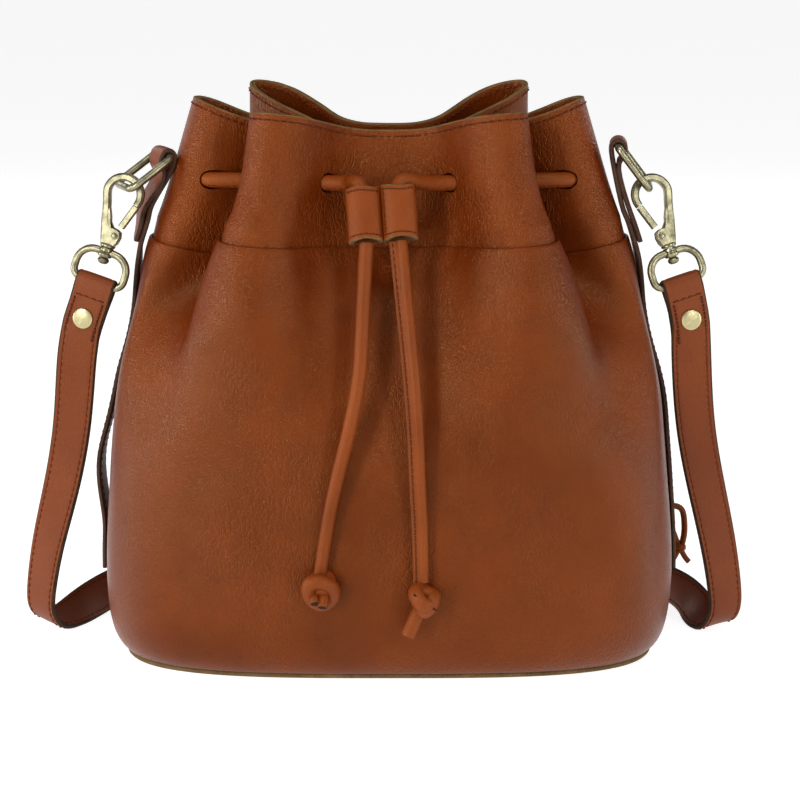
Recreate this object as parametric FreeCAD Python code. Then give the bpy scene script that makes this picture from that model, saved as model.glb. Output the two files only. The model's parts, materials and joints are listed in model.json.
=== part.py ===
import FreeCAD, Part
import math
import os

# Drawstring bucket bag in soft leather with a clip-on shoulder strap.
# Frame: +Z up, +X to the wearer's right of the front, front faces -Y.
# The origin is the middle of the base's underside. Millimetres throughout.

V = FreeCAD.Vector
UP = V(0, 0, 1)

# ---------------------------------------------------------------- driving sizes
LEATHER = 2.2  # body leather
FACING_IN, FACING_OUT = 3.5, 2.3  # depth of the facing's two sides below the outer skin
LINING_IN, LINING_OUT = 7.0, 6.2  # depth of the lining's two sides
ROUNDNESS = 3.3  # exponent of the body's rounded oblong plan
BASE_A, BASE_B = 135.0, 65.5  # half sizes of the base panel
BASE_T = 2.4
WELT_W, WELT_H = 2.6, 3.6
BOARD_T = 2.4

CORD_R = 3.3  # drawstring, a rolled leather cord
HOLE_R = 3.9
STRING_Z = 242.0  # height of the drawstring
SEAM_Z = 216.0  # height of the yoke seam on the pleats
FACING_Z = 188.0  # lower edge of the facing

STRAP_W, STRAP_T = 20.0, 3.0
FOLD_T = 1.6  # thickness of a skived strap end
BAND_W, BAND_LOOP_W, BAND_T = 22.0, 17.5, 2.4
BAND_HEIGHTS = (40, 50, 60, 70, 85, 100, 115, 130, 145, 160, 175, 188, 200, 210, 220, 228)
BAND_TURNS_FROM, BAND_TURNS_OVER = 195.0, 45.0
RING_WIRE, RING_INNER = 1.75, 22.0
RING_NEAR, RING_FAR = 2.6, 5.0  # the ring's corner radii, at its tab and at the hook
EYE_WIRE = 1.9
RIVET_R = 1.6
FIT = 0.3  # gap between pieces that only rest on each other

# One row of the skin: height, half width, half depth, share of pleating, pleat scale, dip of the valleys, and
# how far the side valleys lean outwards.
ROWS = [
    (3.8, 137.0, 68.5, 0.0, 1.0, 0.0, 0.0),
    (8.0, 141.5, 72.0, 0.0, 1.0, 0.0, 0.0),
    (20.0, 145.0, 74.5, 0.0, 1.0, 0.0, 0.0),
    (50.0, 145.5, 75.0, 0.0, 1.0, 0.0, 0.0),
    (85.0, 142.5, 74.5, 0.0, 1.0, 0.0, 0.0),
    (120.0, 140.0, 73.0, 0.02, 1.15, 0.0, 40.0),
    (152.0, 138.0, 71.0, 0.12, 1.15, 0.0, 32.0),
    (180.0, 136.0, 69.0, 0.32, 1.15, 5.0, 20.0),
    (203.0, 134.0, 67.0, 0.64, 1.13, 12.0, 8.0),
    (222.0, 131.0, 65.0, 0.92, 1.07, 17.0, 2.0),
    (242.0, 128.0, 62.0, 1.0, 1.0, 13.0, 0.0),
    (263.0, 0.0, 0.0, 1.0, 1.0, 15.0, 0.0),
    (289.0, 0.0, 0.0, 1.0, 1.0, 24.0, 0.0),
]
STRING_ROW, RIM_ROW = 10, 12
# Plan of one quarter of the pleated neck, from the middle of the front (or back) to the side.
NECK = [
    (0, 21), (15, 21), (31, 27), (43, 46), (60, 56), (75, 46), (71, 28),
    (56, 15), (42, 3), (62, 3), (80, 14), (96, 22), (109, 13), (110, 0),
]
RIM = [
    (0, 17), (13, 17), (25, 22), (37, 41), (52, 49), (68, 43), (67, 27),
    (49, 17), (30, 5), (50, 5), (71, 14), (87, 18), (96, 9), (97, 0),
]
# Shares of each row's dip at the plan's points: below the drawstring, and above it on the front and the back.
LOW_DIP = [0.45, 0.45, 0.4, 0.3, 0.2, 0.1, 0.04, 0.2, 1.0, 1.0, 0.8, 0.5, 0.4, 0.4]
FRONT_DIP = [0.96, 0.96, 0.85, 0.62, 0.5, 0.48, 0.55, 0.65, 0.95, 0.95, 0.75, 0.45, 0.33, 0.33]
BACK_DIP = [0.96, 0.96, 0.82, 0.52, 0.36, 0.22, 0.15, 0.3, 0.95, 0.95, 0.75, 0.45, 0.33, 0.33]
LEAN = [0.0, 0.0, 0.0, 0.1, 0.35, 0.7, 1.0, 1.0, 1.0, 1.0, 0.8, 0.35, 0.0, 0.0]

# Each side's clip: the bar of its swivel eye, how the clip leans to the bag and tips forward, and how its
# ring is turned about the upright, dips, and stands off centre in the hook. Angles in degrees.
CLIP_L = {
    "side": -1, "bar": V(-145.5, -17.5, 191.0),
    "lean": 18.5, "tip": -4.5, "yaw": 24.0, "dip": 33.0, "shift": 5.0}
CLIP_R = {
    "side": 1, "bar": V(145.5, -16.5, 190.7),
    "lean": 19.0, "tip": -11.5, "yaw": 5.0, "dip": 52.0, "shift": 5.0}
CLIP_TURN = 8.0  # each clip is turned this much to face outwards
CLIP_REACH = 49.8  # from the eye's bar to the ring's far bar

ZIP_Y, ZIP_Z0, ZIP_Z1 = 22.0, 62.0, 172.0
SLIDER_Z = 68.0


def save(name, shape):
    os.makedirs("parts", exist_ok=True)
    bad = not shape.isValid() or shape.Volume <= 0
    shape.exportStep(os.path.join("parts", name + ".step"))
    print(f"{name:24s} volume {shape.Volume:9.1f} solids {len(shape.Solids)}{'  INVALID' if bad else ''}")


def unit(v):
    return V(v).normalize()


# ---------------------------------------------------------------- the skin
def oblong(a, b, angle):
    """A point of the rounded oblong, by its angle from the middle of the front."""
    s, c = math.sin(angle), math.cos(angle)
    return a * abs(s) ** (2 / ROUNDNESS), b * abs(c) ** (2 / ROUNDNESS)


def oblong_points(a, b, shares):
    """The oblong's quarter at the given shares of its length."""
    steps = 600
    line = [oblong(a, b, k * math.pi / 2 / steps) for k in range(steps + 1)]
    along = [0.0]
    for p, q in zip(line, line[1:]):
        along.append(along[-1] + math.dist(p, q))
    found, k = [], 0
    for share in shares:
        want = share * along[-1]
        while k < steps - 1 and along[k + 1] < want:
            k += 1
        f = (want - along[k]) / (along[k + 1] - along[k])
        p, q = line[k], line[k + 1]
        found.append((p[0] + f * (q[0] - p[0]), p[1] + f * (q[1] - p[1])))
    return found


def shares_of(outline):
    along = [0.0]
    for p, q in zip(outline, outline[1:]):
        along.append(along[-1] + math.dist(p, q))
    return [s / along[-1] for s in along]


SHARES = shares_of(NECK)


def quarter_row(index, rim_dip):
    """The control points of one row in the quarter, as (x, y, z) with x and y positive."""
    z, a, b, pleat, scale, dip, lean = ROWS[index]
    dips = LOW_DIP if index < STRING_ROW else rim_dip
    if index <= STRING_ROW:
        neck = [(x * scale + lean * k, y * scale) for (x, y), k in zip(NECK, LEAN)]
    else:
        f = (z - ROWS[STRING_ROW][0]) / (ROWS[RIM_ROW][0] - ROWS[STRING_ROW][0])
        neck = [(p[0] + f * (q[0] - p[0]), p[1] + f * (q[1] - p[1])) for p, q in zip(NECK, RIM)]
    body = oblong_points(a, b, SHARES) if pleat < 1 else neck
    return [
        (q[0] + pleat * (p[0] - q[0]), q[1] + pleat * (p[1] - q[1]), z - dip * d)
        for p, q, d in zip(neck, body, dips)
    ]


def half_row(index, depth, rim_dip):
    """The control points from the left side round the front to the right side, moved in by depth."""
    q = quarter_row(index, rim_dip)
    row = [(-x, -y, z) for x, y, z in reversed(q)] + [(x, -y, z) for x, y, z in q[1:]]
    moved, last = [], len(row) - 1
    for k, (x, y, z) in enumerate(row):
        if k in (0, last):
            n = (-1.0 if k == 0 else 1.0, 0.0)
        else:
            tx, ty = row[k + 1][0] - row[k - 1][0], row[k + 1][1] - row[k - 1][1]
            size = math.hypot(tx, ty)
            n = (ty / size, -tx / size)
        moved.append(V(x - depth * n[0], y - depth * n[1], z))
    return moved


def clamped(count, degree=3):
    spans = count - degree
    return [k / spans for k in range(spans + 1)], [degree + 1] + [1] * (spans - 1) + [degree + 1]


def skin(depth, rim_dip):
    """Half of the bag's skin at a depth below its outside, as a surface over (round, up)."""
    rows = [half_row(k, depth, rim_dip) for k in range(len(ROWS))]
    poles = [[row[k] for row in rows] for k in range(len(rows[0]))]
    uk, um = clamped(len(poles))
    vk, vm = clamped(len(rows))
    surface = Part.BSplineSurface()
    surface.buildFromPolesMultsKnots(poles, um, vm, uk, vk, False, False, 3, 3)
    return surface


OUTER = skin(0.0, FRONT_DIP)
PLEAT_U = 6.5 / 24  # where the side of a front pleat stands


def height_share(z, u=PLEAT_U):
    """The surface's upward share at which a pleat reaches height z."""
    low, high = 0.0, 1.0
    for _ in range(40):
        mid = (low + high) / 2
        low, high = (mid, high) if OUTER.value(u, mid).z < z else (low, mid)
    return (low + high) / 2


def leather(out_depth, in_depth, low, high, rim_dip=FRONT_DIP):
    """Half of a skin between two depths and two upward shares, drawn at the front, as a solid."""
    sides = []
    for depth in (out_depth, in_depth):
        s = skin(depth, rim_dip)
        s.segment(0, 1, low, high)
        sides.append(s)
    outer, inner = sides
    faces = [outer.toShape(), inner.toShape()]
    for v in (low, high):
        faces.append(Part.makeRuledSurface(outer.vIso(v).toShape(), inner.vIso(v).toShape()))
    for u in (0, 1):
        faces.append(Part.makeRuledSurface(outer.uIso(u).toShape(), inner.uIso(u).toShape()))
    shell = Part.Shell(faces)
    shell.sewShape()
    solid = Part.Solid(shell)
    if solid.Volume < 0:
        solid.reverse()
    return solid


def back_of(shape):
    return shape.mirror(V(0, 0, 0), V(0, 1, 0))


def plate(a, b, z, height):
    """A flat rounded oblong."""
    q = oblong_points(a, b, [k / 9 for k in range(10)])
    ring = [(x, -y) for x, y in q] + [(x, y) for x, y in reversed(q[:-1])]
    ring += [(-x, y) for x, y in q[1:]] + [(-x, -y) for x, y in reversed(q[1:-1])]
    curve = Part.BSplineCurve()
    curve.interpolate(Points=[V(x, y, z) for x, y in ring], PeriodicFlag=True)
    return Part.Face(Part.Wire(curve.toShape())).extrude(V(0, 0, height))


# ---------------------------------------------------------------- helpers for hardware and straps
def rod(start, end, radius):
    axis = end - start
    return Part.makeCylinder(radius, axis.Length, start, axis)


def rounded_path(points, radii):
    """Straight runs through the points, joined by tangent arcs."""
    edges, here = [], points[0]
    for k in range(1, len(points) - 1):
        p, q, r = points[k - 1], points[k], points[k + 1]
        back, on = unit(p - q), unit(r - q)
        half = back.getAngle(on) / 2
        reach = radii[k - 1] / math.tan(half)
        start, end = q + back * reach, q + on * reach
        middle = q + unit(back + on) * (radii[k - 1] / math.sin(half) - radii[k - 1])
        if (start - here).Length > 1e-6:
            edges.append(Part.LineSegment(here, start).toShape())
        edges.append(Part.Arc(start, middle, end).toShape())
        here = end
    edges.append(Part.LineSegment(here, points[-1]).toShape())
    return Part.Wire(edges)


def tube(wire, radius):
    first = wire.OrderedEdges[0]
    start, direction = first.valueAt(first.FirstParameter), first.tangentAt(first.FirstParameter)
    profile = Part.Wire(Part.Circle(start, direction, radius).toShape())
    return wire.makePipeShell([profile], True, True)


def cord_radii(points, share=0.45):
    """Arcs as large as the runs allow."""
    radii = []
    for p, q, r in zip(points, points[1:], points[2:]):
        turn = math.pi - (p - q).getAngle(r - q)
        radii.append(share * min((p - q).Length, (r - q).Length) / math.tan(turn / 2))
    return radii


def cord(points, radius, label):
    """A free cord's tube, from its route."""
    radii = cord_radii(points)
    wire = rounded_path(points, radii)
    solid = tube(wire, radius)
    off = solid.Volume / (math.pi * radius**2 * wire.Length) - 1
    print(f"{label}: length {wire.Length:.1f}, radii {[round(r, 1) for r in radii]}, volume off {off:+.4f}")
    return solid


def ribbon(stations):
    """A strap's solid through (middle, width direction, width, thickness) stations."""
    wires = []
    for k, (c, w, width, thick) in enumerate(stations):
        before, after = stations[max(k - 1, 0)][0], stations[min(k + 1, len(stations) - 1)][0]
        t = unit(after - before)
        across = unit(w - t * w.dot(t))
        n = t.cross(across)
        a, b = across * (width / 2), n * (thick / 2)
        corners = [c - a - b, c + a - b, c + a + b, c - a + b]
        wires.append(Part.makePolygon(corners + corners[:1]))
    solid = Part.makeLoft(wires, True, True)
    if solid.Volume < 0:
        solid.reverse()
    return solid


def smooth(knots, per_span):
    """Stations on a curve through hand-set stations, several to a span."""
    middle = Part.BSplineCurve()
    middle.interpolate(Points=[k[0] for k in knots], Parameters=list(range(len(knots))))
    made = []
    for j in range((len(knots) - 1) * per_span + 1):
        at = j / per_span
        i = min(int(at), len(knots) - 2)
        f = at - i
        here, after = knots[i], knots[i + 1]
        way = unit(here[1] * (1 - f) + after[1] * f)
        width, thick = (here[n] + f * (after[n] - here[n]) for n in (2, 3))
        made.append((middle.value(at), way, width, thick))
    return made


# ---------------------------------------------------------------- the bag's body
def make_half(rim_dip):
    """Half of the bag drawn at the front: its lower panel, yoke, facing and lining."""
    seam, facing, lining_top = (height_share(z) for z in (SEAM_Z, FACING_Z, FACING_Z - 2))
    lower = leather(0.0, LEATHER, 0.0, seam)
    yoke = leather(0.0, LEATHER, seam, 1.0, rim_dip)
    face = leather(FACING_OUT, FACING_IN, facing, 1.0, rim_dip)
    lining = leather(LINING_OUT, LINING_IN, 0.0, lining_top)
    return lower, yoke, face, lining


def string_route():
    """The drawstring's closed route in plan, by hole, from the left of the front opening round the back."""
    quarter = [(31, 28), (58, 19.5), (88, 17)]
    left = [(-x, -y) for x, y in quarter] + [(-x, y) for x, y in reversed(quarter)]
    right = [(x, y) for x, y in quarter] + [(x, -y) for x, y in reversed(quarter)]
    return [V(x, y, STRING_Z) for x, y in left + right]


def punch_holes(shape):
    """Cuts the holes that the drawstring passes through."""
    return shape.cut(tube(drawstring_path(), HOLE_R))


# ---------------------------------------------------------------- drawstring, toggle, tails
TOGGLE_TOP = V(-4.0, -43.5, 240.0)
TOGGLE_DOWN = unit(V(0.07, -0.34, -0.94))
TOGGLE_LONG = 26.0
CHANNEL_APART = 16.8
CHANNEL_W, CHANNEL_D = 6.0, 4.1  # half sizes of a channel
TOGGLE_WALL = 1.8


def toggle_frame():
    """The toggle's own axes: across, outwards and down."""
    across = unit(V(1, 0, 0) - TOGGLE_DOWN * TOGGLE_DOWN.x)
    return across, TOGGLE_DOWN.cross(across), TOGGLE_DOWN


def channel_middle(side):
    return TOGGLE_TOP + toggle_frame()[0] * (side * CHANNEL_APART / 2)


def make_toggle():
    across, out, down = toggle_frame()

    def oval(side, a, b):
        rim = Part.Ellipse(V(0, 0, 0), a, b).toShape()
        sleeve = Part.Face(Part.Wire(rim)).extrude(V(0, 0, TOGGLE_LONG))
        m = FreeCAD.Matrix(
            across.x, out.x, down.x, 0, across.y, out.y, down.y, 0, across.z, out.z, down.z, 0, 0, 0, 0, 1)
        sleeve.transformShape(m)
        sleeve.translate(channel_middle(side))
        return sleeve

    left, right = (oval(side, CHANNEL_W + TOGGLE_WALL + 0.9, CHANNEL_D + TOGGLE_WALL) for side in (-1, 1))
    body = left.fuse(right)
    for side in (-1, 1):
        body = body.cut(oval(side, CHANNEL_W, CHANNEL_D))
    return body


def drawstring_path():
    """The drawstring's centre line, from one end below the toggle round the mouth to the other."""
    route = string_route()
    down = TOGGLE_DOWN
    points = []
    for side, hole in ((-1, route[0]), (1, route[-1])):
        top = channel_middle(side)
        entry = top - down * 4.5
        leave = top + down * (TOGGLE_LONG + 1.0)
        points.append([leave, entry, hole + V(side * 1.0, 1.2, 0)])
    path = points[0][:2] + [points[0][2]] + route[1:-1] + [points[1][2]] + points[1][1::-1]
    radii = [5.5] + [7.0] * (len(path) - 4) + [5.5]
    return rounded_path(path, radii)


def tail_routes():
    """The hanging ends, from the toggle's lower edge to the knots."""
    left, right = (channel_middle(s) + TOGGLE_DOWN * (TOGGLE_LONG + 1.0) for s in (-1, 1))
    return (
        [left, V(-12.2, -63.0, 184.0), V(-13.2, -73.0, 156.0), V(-18.5, -77.6, 130.0),
         V(-25.2, -78.2, 104.0), V(-30.0, -78.4, 80.0), V(-32.8, -78.4, 61.0)],
        [right, V(9.6, -63.5, 184.0), V(12.4, -73.2, 156.0), V(14.4, -77.6, 130.0),
         V(15.2, -78.2, 104.0), V(16.6, -78.4, 80.0), V(16.8, -78.4, 58.0)],
    )


def make_knot(top, tip):
    """A plain closed shape of an end knot, with the cord's cut end below it."""
    middle = top + V(0, -2.2, -9.0)
    ball = Part.makeSphere(9.0, middle)
    ball = ball.common(Part.makeBox(40, 11.2, 40, middle + V(-20, -6.8, -20)))
    knot = ball.fuse(rod(middle, tip, CORD_R))
    return knot.cut(Part.makeBox(40, 40, 20, top + V(-20, -20, 0)))


# ---------------------------------------------------------------- clips, rings, bands, straps
def clip_axes(clip):
    """A clip's axes: across towards the bag, back, and up along the clip."""
    lean, tip, turn = (math.radians(a) for a in (clip["lean"], clip["tip"], CLIP_TURN))
    along = unit(V(-clip["side"] * math.tan(lean), -math.tan(tip), 1))
    hint = V(-clip["side"] * math.cos(turn), -math.sin(turn), 0)
    across = unit(hint - along * hint.dot(along))
    return across, along.cross(across), along


def place(shape, clip):
    """Moves a shape drawn in a clip's own axes to its side of the bag."""
    across, back, along = clip_axes(clip)
    m = FreeCAD.Matrix(
        across.x, back.x, along.x, clip["bar"].x,
        across.y, back.y, along.y, clip["bar"].y,
        across.z, back.z, along.z, clip["bar"].z, 0, 0, 0, 1)
    moved = shape.copy()
    moved.transformShape(m)
    return moved


POST_R, BOSS_R = 1.8, 3.7
BOSS_Z0, BOSS_Z1 = 13.4, 18.4
HOOK_BASE, HOOK_T = 18.8, 4.6
BOW_MIDDLE, BOW_OUT, BOW_IN = 46.0, 10.6, 6.5
GATE_PIVOT = (2.0, 25.0)
GATE_T = 2.6
PIN_R = 1.0


def make_eye():
    half, high, low_r, top_r = 13.1, 15.9, 4.5, 8.5
    corners = [V(half, 0, 0), V(half, 0, high), V(-half, 0, high), V(-half, 0, 0)]
    loop = rounded_path([V(0, 0, 0)] + corners + [V(0, 0, 0)], [low_r, top_r, top_r, low_r])
    eye = tube(loop, EYE_WIRE)
    boss = Part.makeCylinder(BOSS_R, BOSS_Z1 - BOSS_Z0, V(0, 0, BOSS_Z0))
    bore = Part.makeCylinder(POST_R + 0.06, 12, V(0, 0, 9))
    boss = boss.makeFillet(0.5, [e for e in boss.Edges if abs(e.Length - 2 * math.pi * BOSS_R) < 0.1])
    return eye.fuse(boss).cut(bore).removeSplitter()


def arc_points(cx, cz, radius, start, end, steps):
    """Points on an arc in the clip's plane, angles in degrees from across, anticlockwise."""
    angles = [math.radians(start + (end - start) * k / steps) for k in range(steps + 1)]
    return [V(cx + radius * math.cos(a), 0, cz + radius * math.sin(a)) for a in angles]


def make_hook():
    """The snap hook's body: base with cheeks, spine, bow and nose, on a swivel post."""
    z0, z1 = HOOK_BASE, BOW_MIDDLE
    nose = math.radians(-24)
    out_end = V(BOW_OUT * math.cos(nose), 0, z1 + BOW_OUT * math.sin(nose))
    in_end = V(BOW_IN * math.cos(nose), 0, z1 + BOW_IN * math.sin(nose))
    spine_out = [V(-4.4, 0, z0), V(-5.6, 0, z0 + 5)]
    cheek = V(5.2, 0, z0 + 9.0)
    edges = [
        Part.makePolygon([cheek, V(5.2, 0, z0 + 3.0), V(4.0, 0, z0)] + spine_out),
        Part.LineSegment(spine_out[-1], V(-BOW_OUT, 0, z1)).toShape(),
        Part.Arc(V(-BOW_OUT, 0, z1), V(0, 0, z1 + BOW_OUT), out_end).toShape(),
        Part.LineSegment(out_end, in_end).toShape(),
        Part.Arc(in_end, V(0, 0, z1 + BOW_IN), V(-BOW_IN, 0, z1)).toShape(),
        Part.makePolygon([V(-BOW_IN, 0, z1), V(-1.6, 0, z0 + 11.5), V(1.2, 0, z0 + 10.6), cheek]),
    ]
    flat = Part.Face(Part.Wire(Part.__sortEdges__([e for part in edges for e in part.Edges])))
    body = flat.extrude(V(0, HOOK_T, 0))
    body.translate(V(0, -HOOK_T / 2, 0))
    slot = Part.makeBox(9.0, GATE_T + 0.3, 12.0, V(-1.6, -(GATE_T + 0.3) / 2, z0 + 2.2))
    nose_slot = Part.makeBox(4.6, 1.6, 6.0, V(BOW_IN - 1.0, -0.8, z1 - 7.4))
    post = Part.makeCylinder(POST_R, 8.0, V(0, 0, z0 - 6.6))
    head = Part.makeCylinder(3.1, 1.5, V(0, 0, z0 - 7.9))
    body = body.cut(slot).cut(nose_slot)
    body = body.fuse(post).fuse(head)
    return body.cut(pin_shape(PIN_R + 0.02)).removeSplitter()


def pin_shape(radius, length=HOOK_T + 0.6):
    return Part.makeCylinder(radius, length, V(GATE_PIVOT[0], -length / 2, GATE_PIVOT[1]), V(0, 1, 0))


def make_pin():
    shank = pin_shape(PIN_R)
    for side in (-1, 1):
        foot = V(GATE_PIVOT[0], side * (HOOK_T / 2 + 0.02), GATE_PIVOT[1])
        cap = Part.makeCylinder(1.9, 0.5, foot, V(0, side, 0))
        shank = shank.fuse(cap)
    return shank.removeSplitter()


def make_gate():
    """The sprung gate, from its pivot to the nose."""
    px, pz = GATE_PIVOT
    nose = math.radians(-24)
    tip = V(8.9 * math.cos(nose) + 0.2, 0, BOW_MIDDLE + 8.9 * math.sin(nose) - 1.2)
    along = unit(tip - V(px, 0, pz))
    side = V(along.z, 0, -along.x)
    heel = V(px, 0, pz)
    low = heel - along * 1.6
    corners = [low + side * 1.9, tip + side * 1.5, tip - side * 1.5, low - side * 2.0]
    bar = Part.Face(Part.makePolygon(corners + corners[:1])).extrude(V(0, GATE_T, 0))
    bar.translate(V(0, -GATE_T / 2, 0))
    bar = bar.makeFillet(0.6, [e for e in bar.Edges if e.Length > 12])
    tongue = Part.makeBox(1.4, 1.2, 2.4, V(-0.7, -0.6, 0))
    tongue.rotate(V(0, 0, 0), V(0, 1, 0), math.degrees(math.atan2(along.x, along.z)))
    tongue.translate(tip - along * 0.6)
    return bar.fuse(tongue).cut(pin_shape(PIN_R + 0.06)).removeSplitter()


def make_gate_spring():
    """The wire spring under the gate's heel, in the base's slot."""
    z0 = HOOK_BASE + 2.2
    points = [V(3.8, 0, z0 + 0.45), V(-1.0, 0, z0 + 0.45), V(-0.9, 0, z0 + 5.2)]
    return tube(rounded_path(points, [0.8]), 0.35)


RING_HALF = RING_INNER / 2 + RING_WIRE


def ring_axes(clip):
    """The middle of the ring's near bar, the direction of its bars, and the way to its far bar."""
    yaw, dip = math.radians(clip["yaw"]), math.radians(clip["dip"])
    bar = V(clip["side"] * math.sin(yaw), math.cos(yaw), 0)
    level = V(clip["side"] * math.cos(yaw), -math.sin(yaw), 0)
    away = level * math.cos(dip) - UP * math.sin(dip)
    far = clip["bar"] + clip_axes(clip)[2] * CLIP_REACH + bar * clip["shift"]
    return far - away * 2 * RING_HALF, bar, away


def make_ring(clip):
    near, bar, away = ring_axes(clip)
    side, long = bar * RING_HALF, away * 2 * RING_HALF
    route = [near, near - side, near - side + long, near + side + long, near + side, near]
    return tube(rounded_path(route, [RING_NEAR, RING_FAR, RING_FAR, RING_NEAR]), RING_WIRE)


def side_x(z, side):
    """Half width of the bag at height z, in the middle of its side."""
    share = height_share(z, 1.0)
    p = OUTER.value(1.0, share)
    t = OUTER.value(1.0, min(1, share + 0.01)) - OUTER.value(1.0, max(0, share - 0.01))
    t = unit(V(t.x, 0, t.z))
    return V(side * p.x, 0, p.z), V(side * t.z, 0, -t.x)


def band_layer(side, bar, heights, lift):
    """Stations of the side band at some heights, turning towards the ring's bar at its top."""
    stations = []
    for z in heights:
        p, n = side_x(z, side)
        f = max(0.0, (z - BAND_TURNS_FROM) / BAND_TURNS_OVER)
        aside = 0.8 * BAND_LOOP_W * f * abs(bar.x)
        w = unit(V(0, 1, 0) * (1 - f) + bar * f)
        stations.append((p + n * (lift + aside), w, BAND_W + f * (BAND_LOOP_W - BAND_W), BAND_T))
    return stations


def make_band(clip):
    """The leather band sewn down the bag's side, turned over the ring's bar at its top."""
    side = clip["side"]
    near, bar, away = ring_axes(clip)
    lift = 0.6 + BAND_T / 2
    turn = RING_WIRE + FIT + BAND_T / 2
    stations = band_layer(side, bar, BAND_HEIGHTS, lift)
    up = unit(near - stations[-1][0])
    up = unit(up - bar * up.dot(bar))
    out = bar.cross(up) * side
    stations.append((near - out * turn - up * 6, bar, BAND_LOOP_W, BAND_T))
    for k in range(9):
        a = math.pi * k / 8
        at = near - out * turn * math.cos(a) + up * turn * math.sin(a)
        stations.append((at, bar, BAND_LOOP_W, BAND_T))
    stations.append((near + out * (turn - 0.5) - up * 4.5, bar, BAND_LOOP_W, BAND_T))
    stations.append((near - out * (turn - BAND_T - 0.4) - up * 11, bar, BAND_LOOP_W, BAND_T))
    stations += band_layer(side, bar, (226, 217, 208), lift + BAND_T + 0.3)
    return ribbon(stations)


def strap_end(clip, path):
    """Stations of a strap's end: the skived tail behind, the turn over the eye's bar, and the front layer.
    path gives (middle, down direction) at a distance below the bar."""
    across, back, along = clip_axes(clip)
    wide = across * -clip["side"]
    front = back * clip["side"]
    turn = EYE_WIRE + FIT + 0.1 + FOLD_T / 2
    stations = []
    for h, n in ((34, -1.75), (28, -1.75), (22, -1.75), (14, -1.75), (9, -2.1), (5, -2.8)):
        stations.append((path(h)[0] + front * n, wide, STRAP_W, FOLD_T))
    for k in range(9):
        a = math.pi * k / 8
        c = clip["bar"] - front * (turn * math.cos(a)) + along * (turn * math.sin(a))
        stations.append((c, wide, STRAP_W, FOLD_T))
    stations.append((path(4)[0] + front * 2.7, wide, STRAP_W, FOLD_T))
    stations.append((path(8)[0] + front * 1.5, wide, STRAP_W, (FOLD_T + STRAP_T) / 2))
    for h in (12, 17, 22):
        stations.append((path(h)[0] + front * 0.7, wide, STRAP_W, STRAP_T))
    return stations


def strap_path(clip, far):
    """The strap's first stretch in its clip's upright plane, from the eye's bar towards far."""
    across, back, along = clip_axes(clip)
    curve = Part.BezierCurve()
    curve.setPoles([clip["bar"], clip["bar"] - along * 16, far + UP * 14, far])
    long = curve.length()

    def at(h):
        p = curve.parameterAtDistance(min(h, long))
        return curve.value(p), unit(curve.tangent(p)[0])

    return at


STRAP_LEFT_TO = V(-157.0, -15.0, 150.0)
STRAP_RIGHT_TO = V(152.0, -16.5, 150.0)
LANE_Y = 101.0  # where the straps run behind the bag
BUCKLE_WIRE = 1.5
BUCKLE_HALF = STRAP_W / 2 + 0.4 + BUCKLE_WIRE  # half the frame's height, on its wire's centre line
LANE_Z = BUCKLE_HALF + BUCKLE_WIRE + 0.1  # height of the straps' middle where they are buckled
BUCKLE_X = -6.0  # bar of the buckle
BUCKLE_W, BUCKLE_RISE = 19.0, 4.6


def left_strap_run():
    t = STRAP_T
    return [
        (V(-161.0, -12.0, 117.0), V(0.97, -0.22, -0.10), STRAP_W, t),
        (V(-168.2, -8.0, 83.0), V(0.92, -0.36, -0.14), STRAP_W, t),
        (V(-176.4, -3.6, 53.0), V(0.85, -0.50, -0.16), STRAP_W, t),
        (V(-181.6, 0.4, 28.0), V(0.80, -0.58, -0.08), STRAP_W, t),
        (V(-182.4, 3.0, 13.5), V(0.78, -0.62, -0.05), STRAP_W, t),
        (V(-178.2, 9.2, 5.2), V(0.76, -0.62, -0.16), STRAP_W, t),
        (V(-170.5, 20.0, 4.6), V(0.66, -0.62, -0.40), STRAP_W, t),
        (V(-161.0, 36.0, 7.2), V(0.42, -0.52, -0.74), STRAP_W, t),
        (V(-147.0, 58.0, 9.6), V(0.16, -0.22, -0.96), STRAP_W, t),
        (V(-124.0, 81.0, 10.3), V(0, 0, -1), STRAP_W, t),
        (V(-92.0, 96.0, 11.2), V(0, 0, -1), STRAP_W, t),
        (V(-60.0, LANE_Y, LANE_Z - 0.3), V(0, 0, -1), STRAP_W, t),
        (V(-34.0, LANE_Y, LANE_Z), V(0, 0, -1), STRAP_W, t),
    ]


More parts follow.
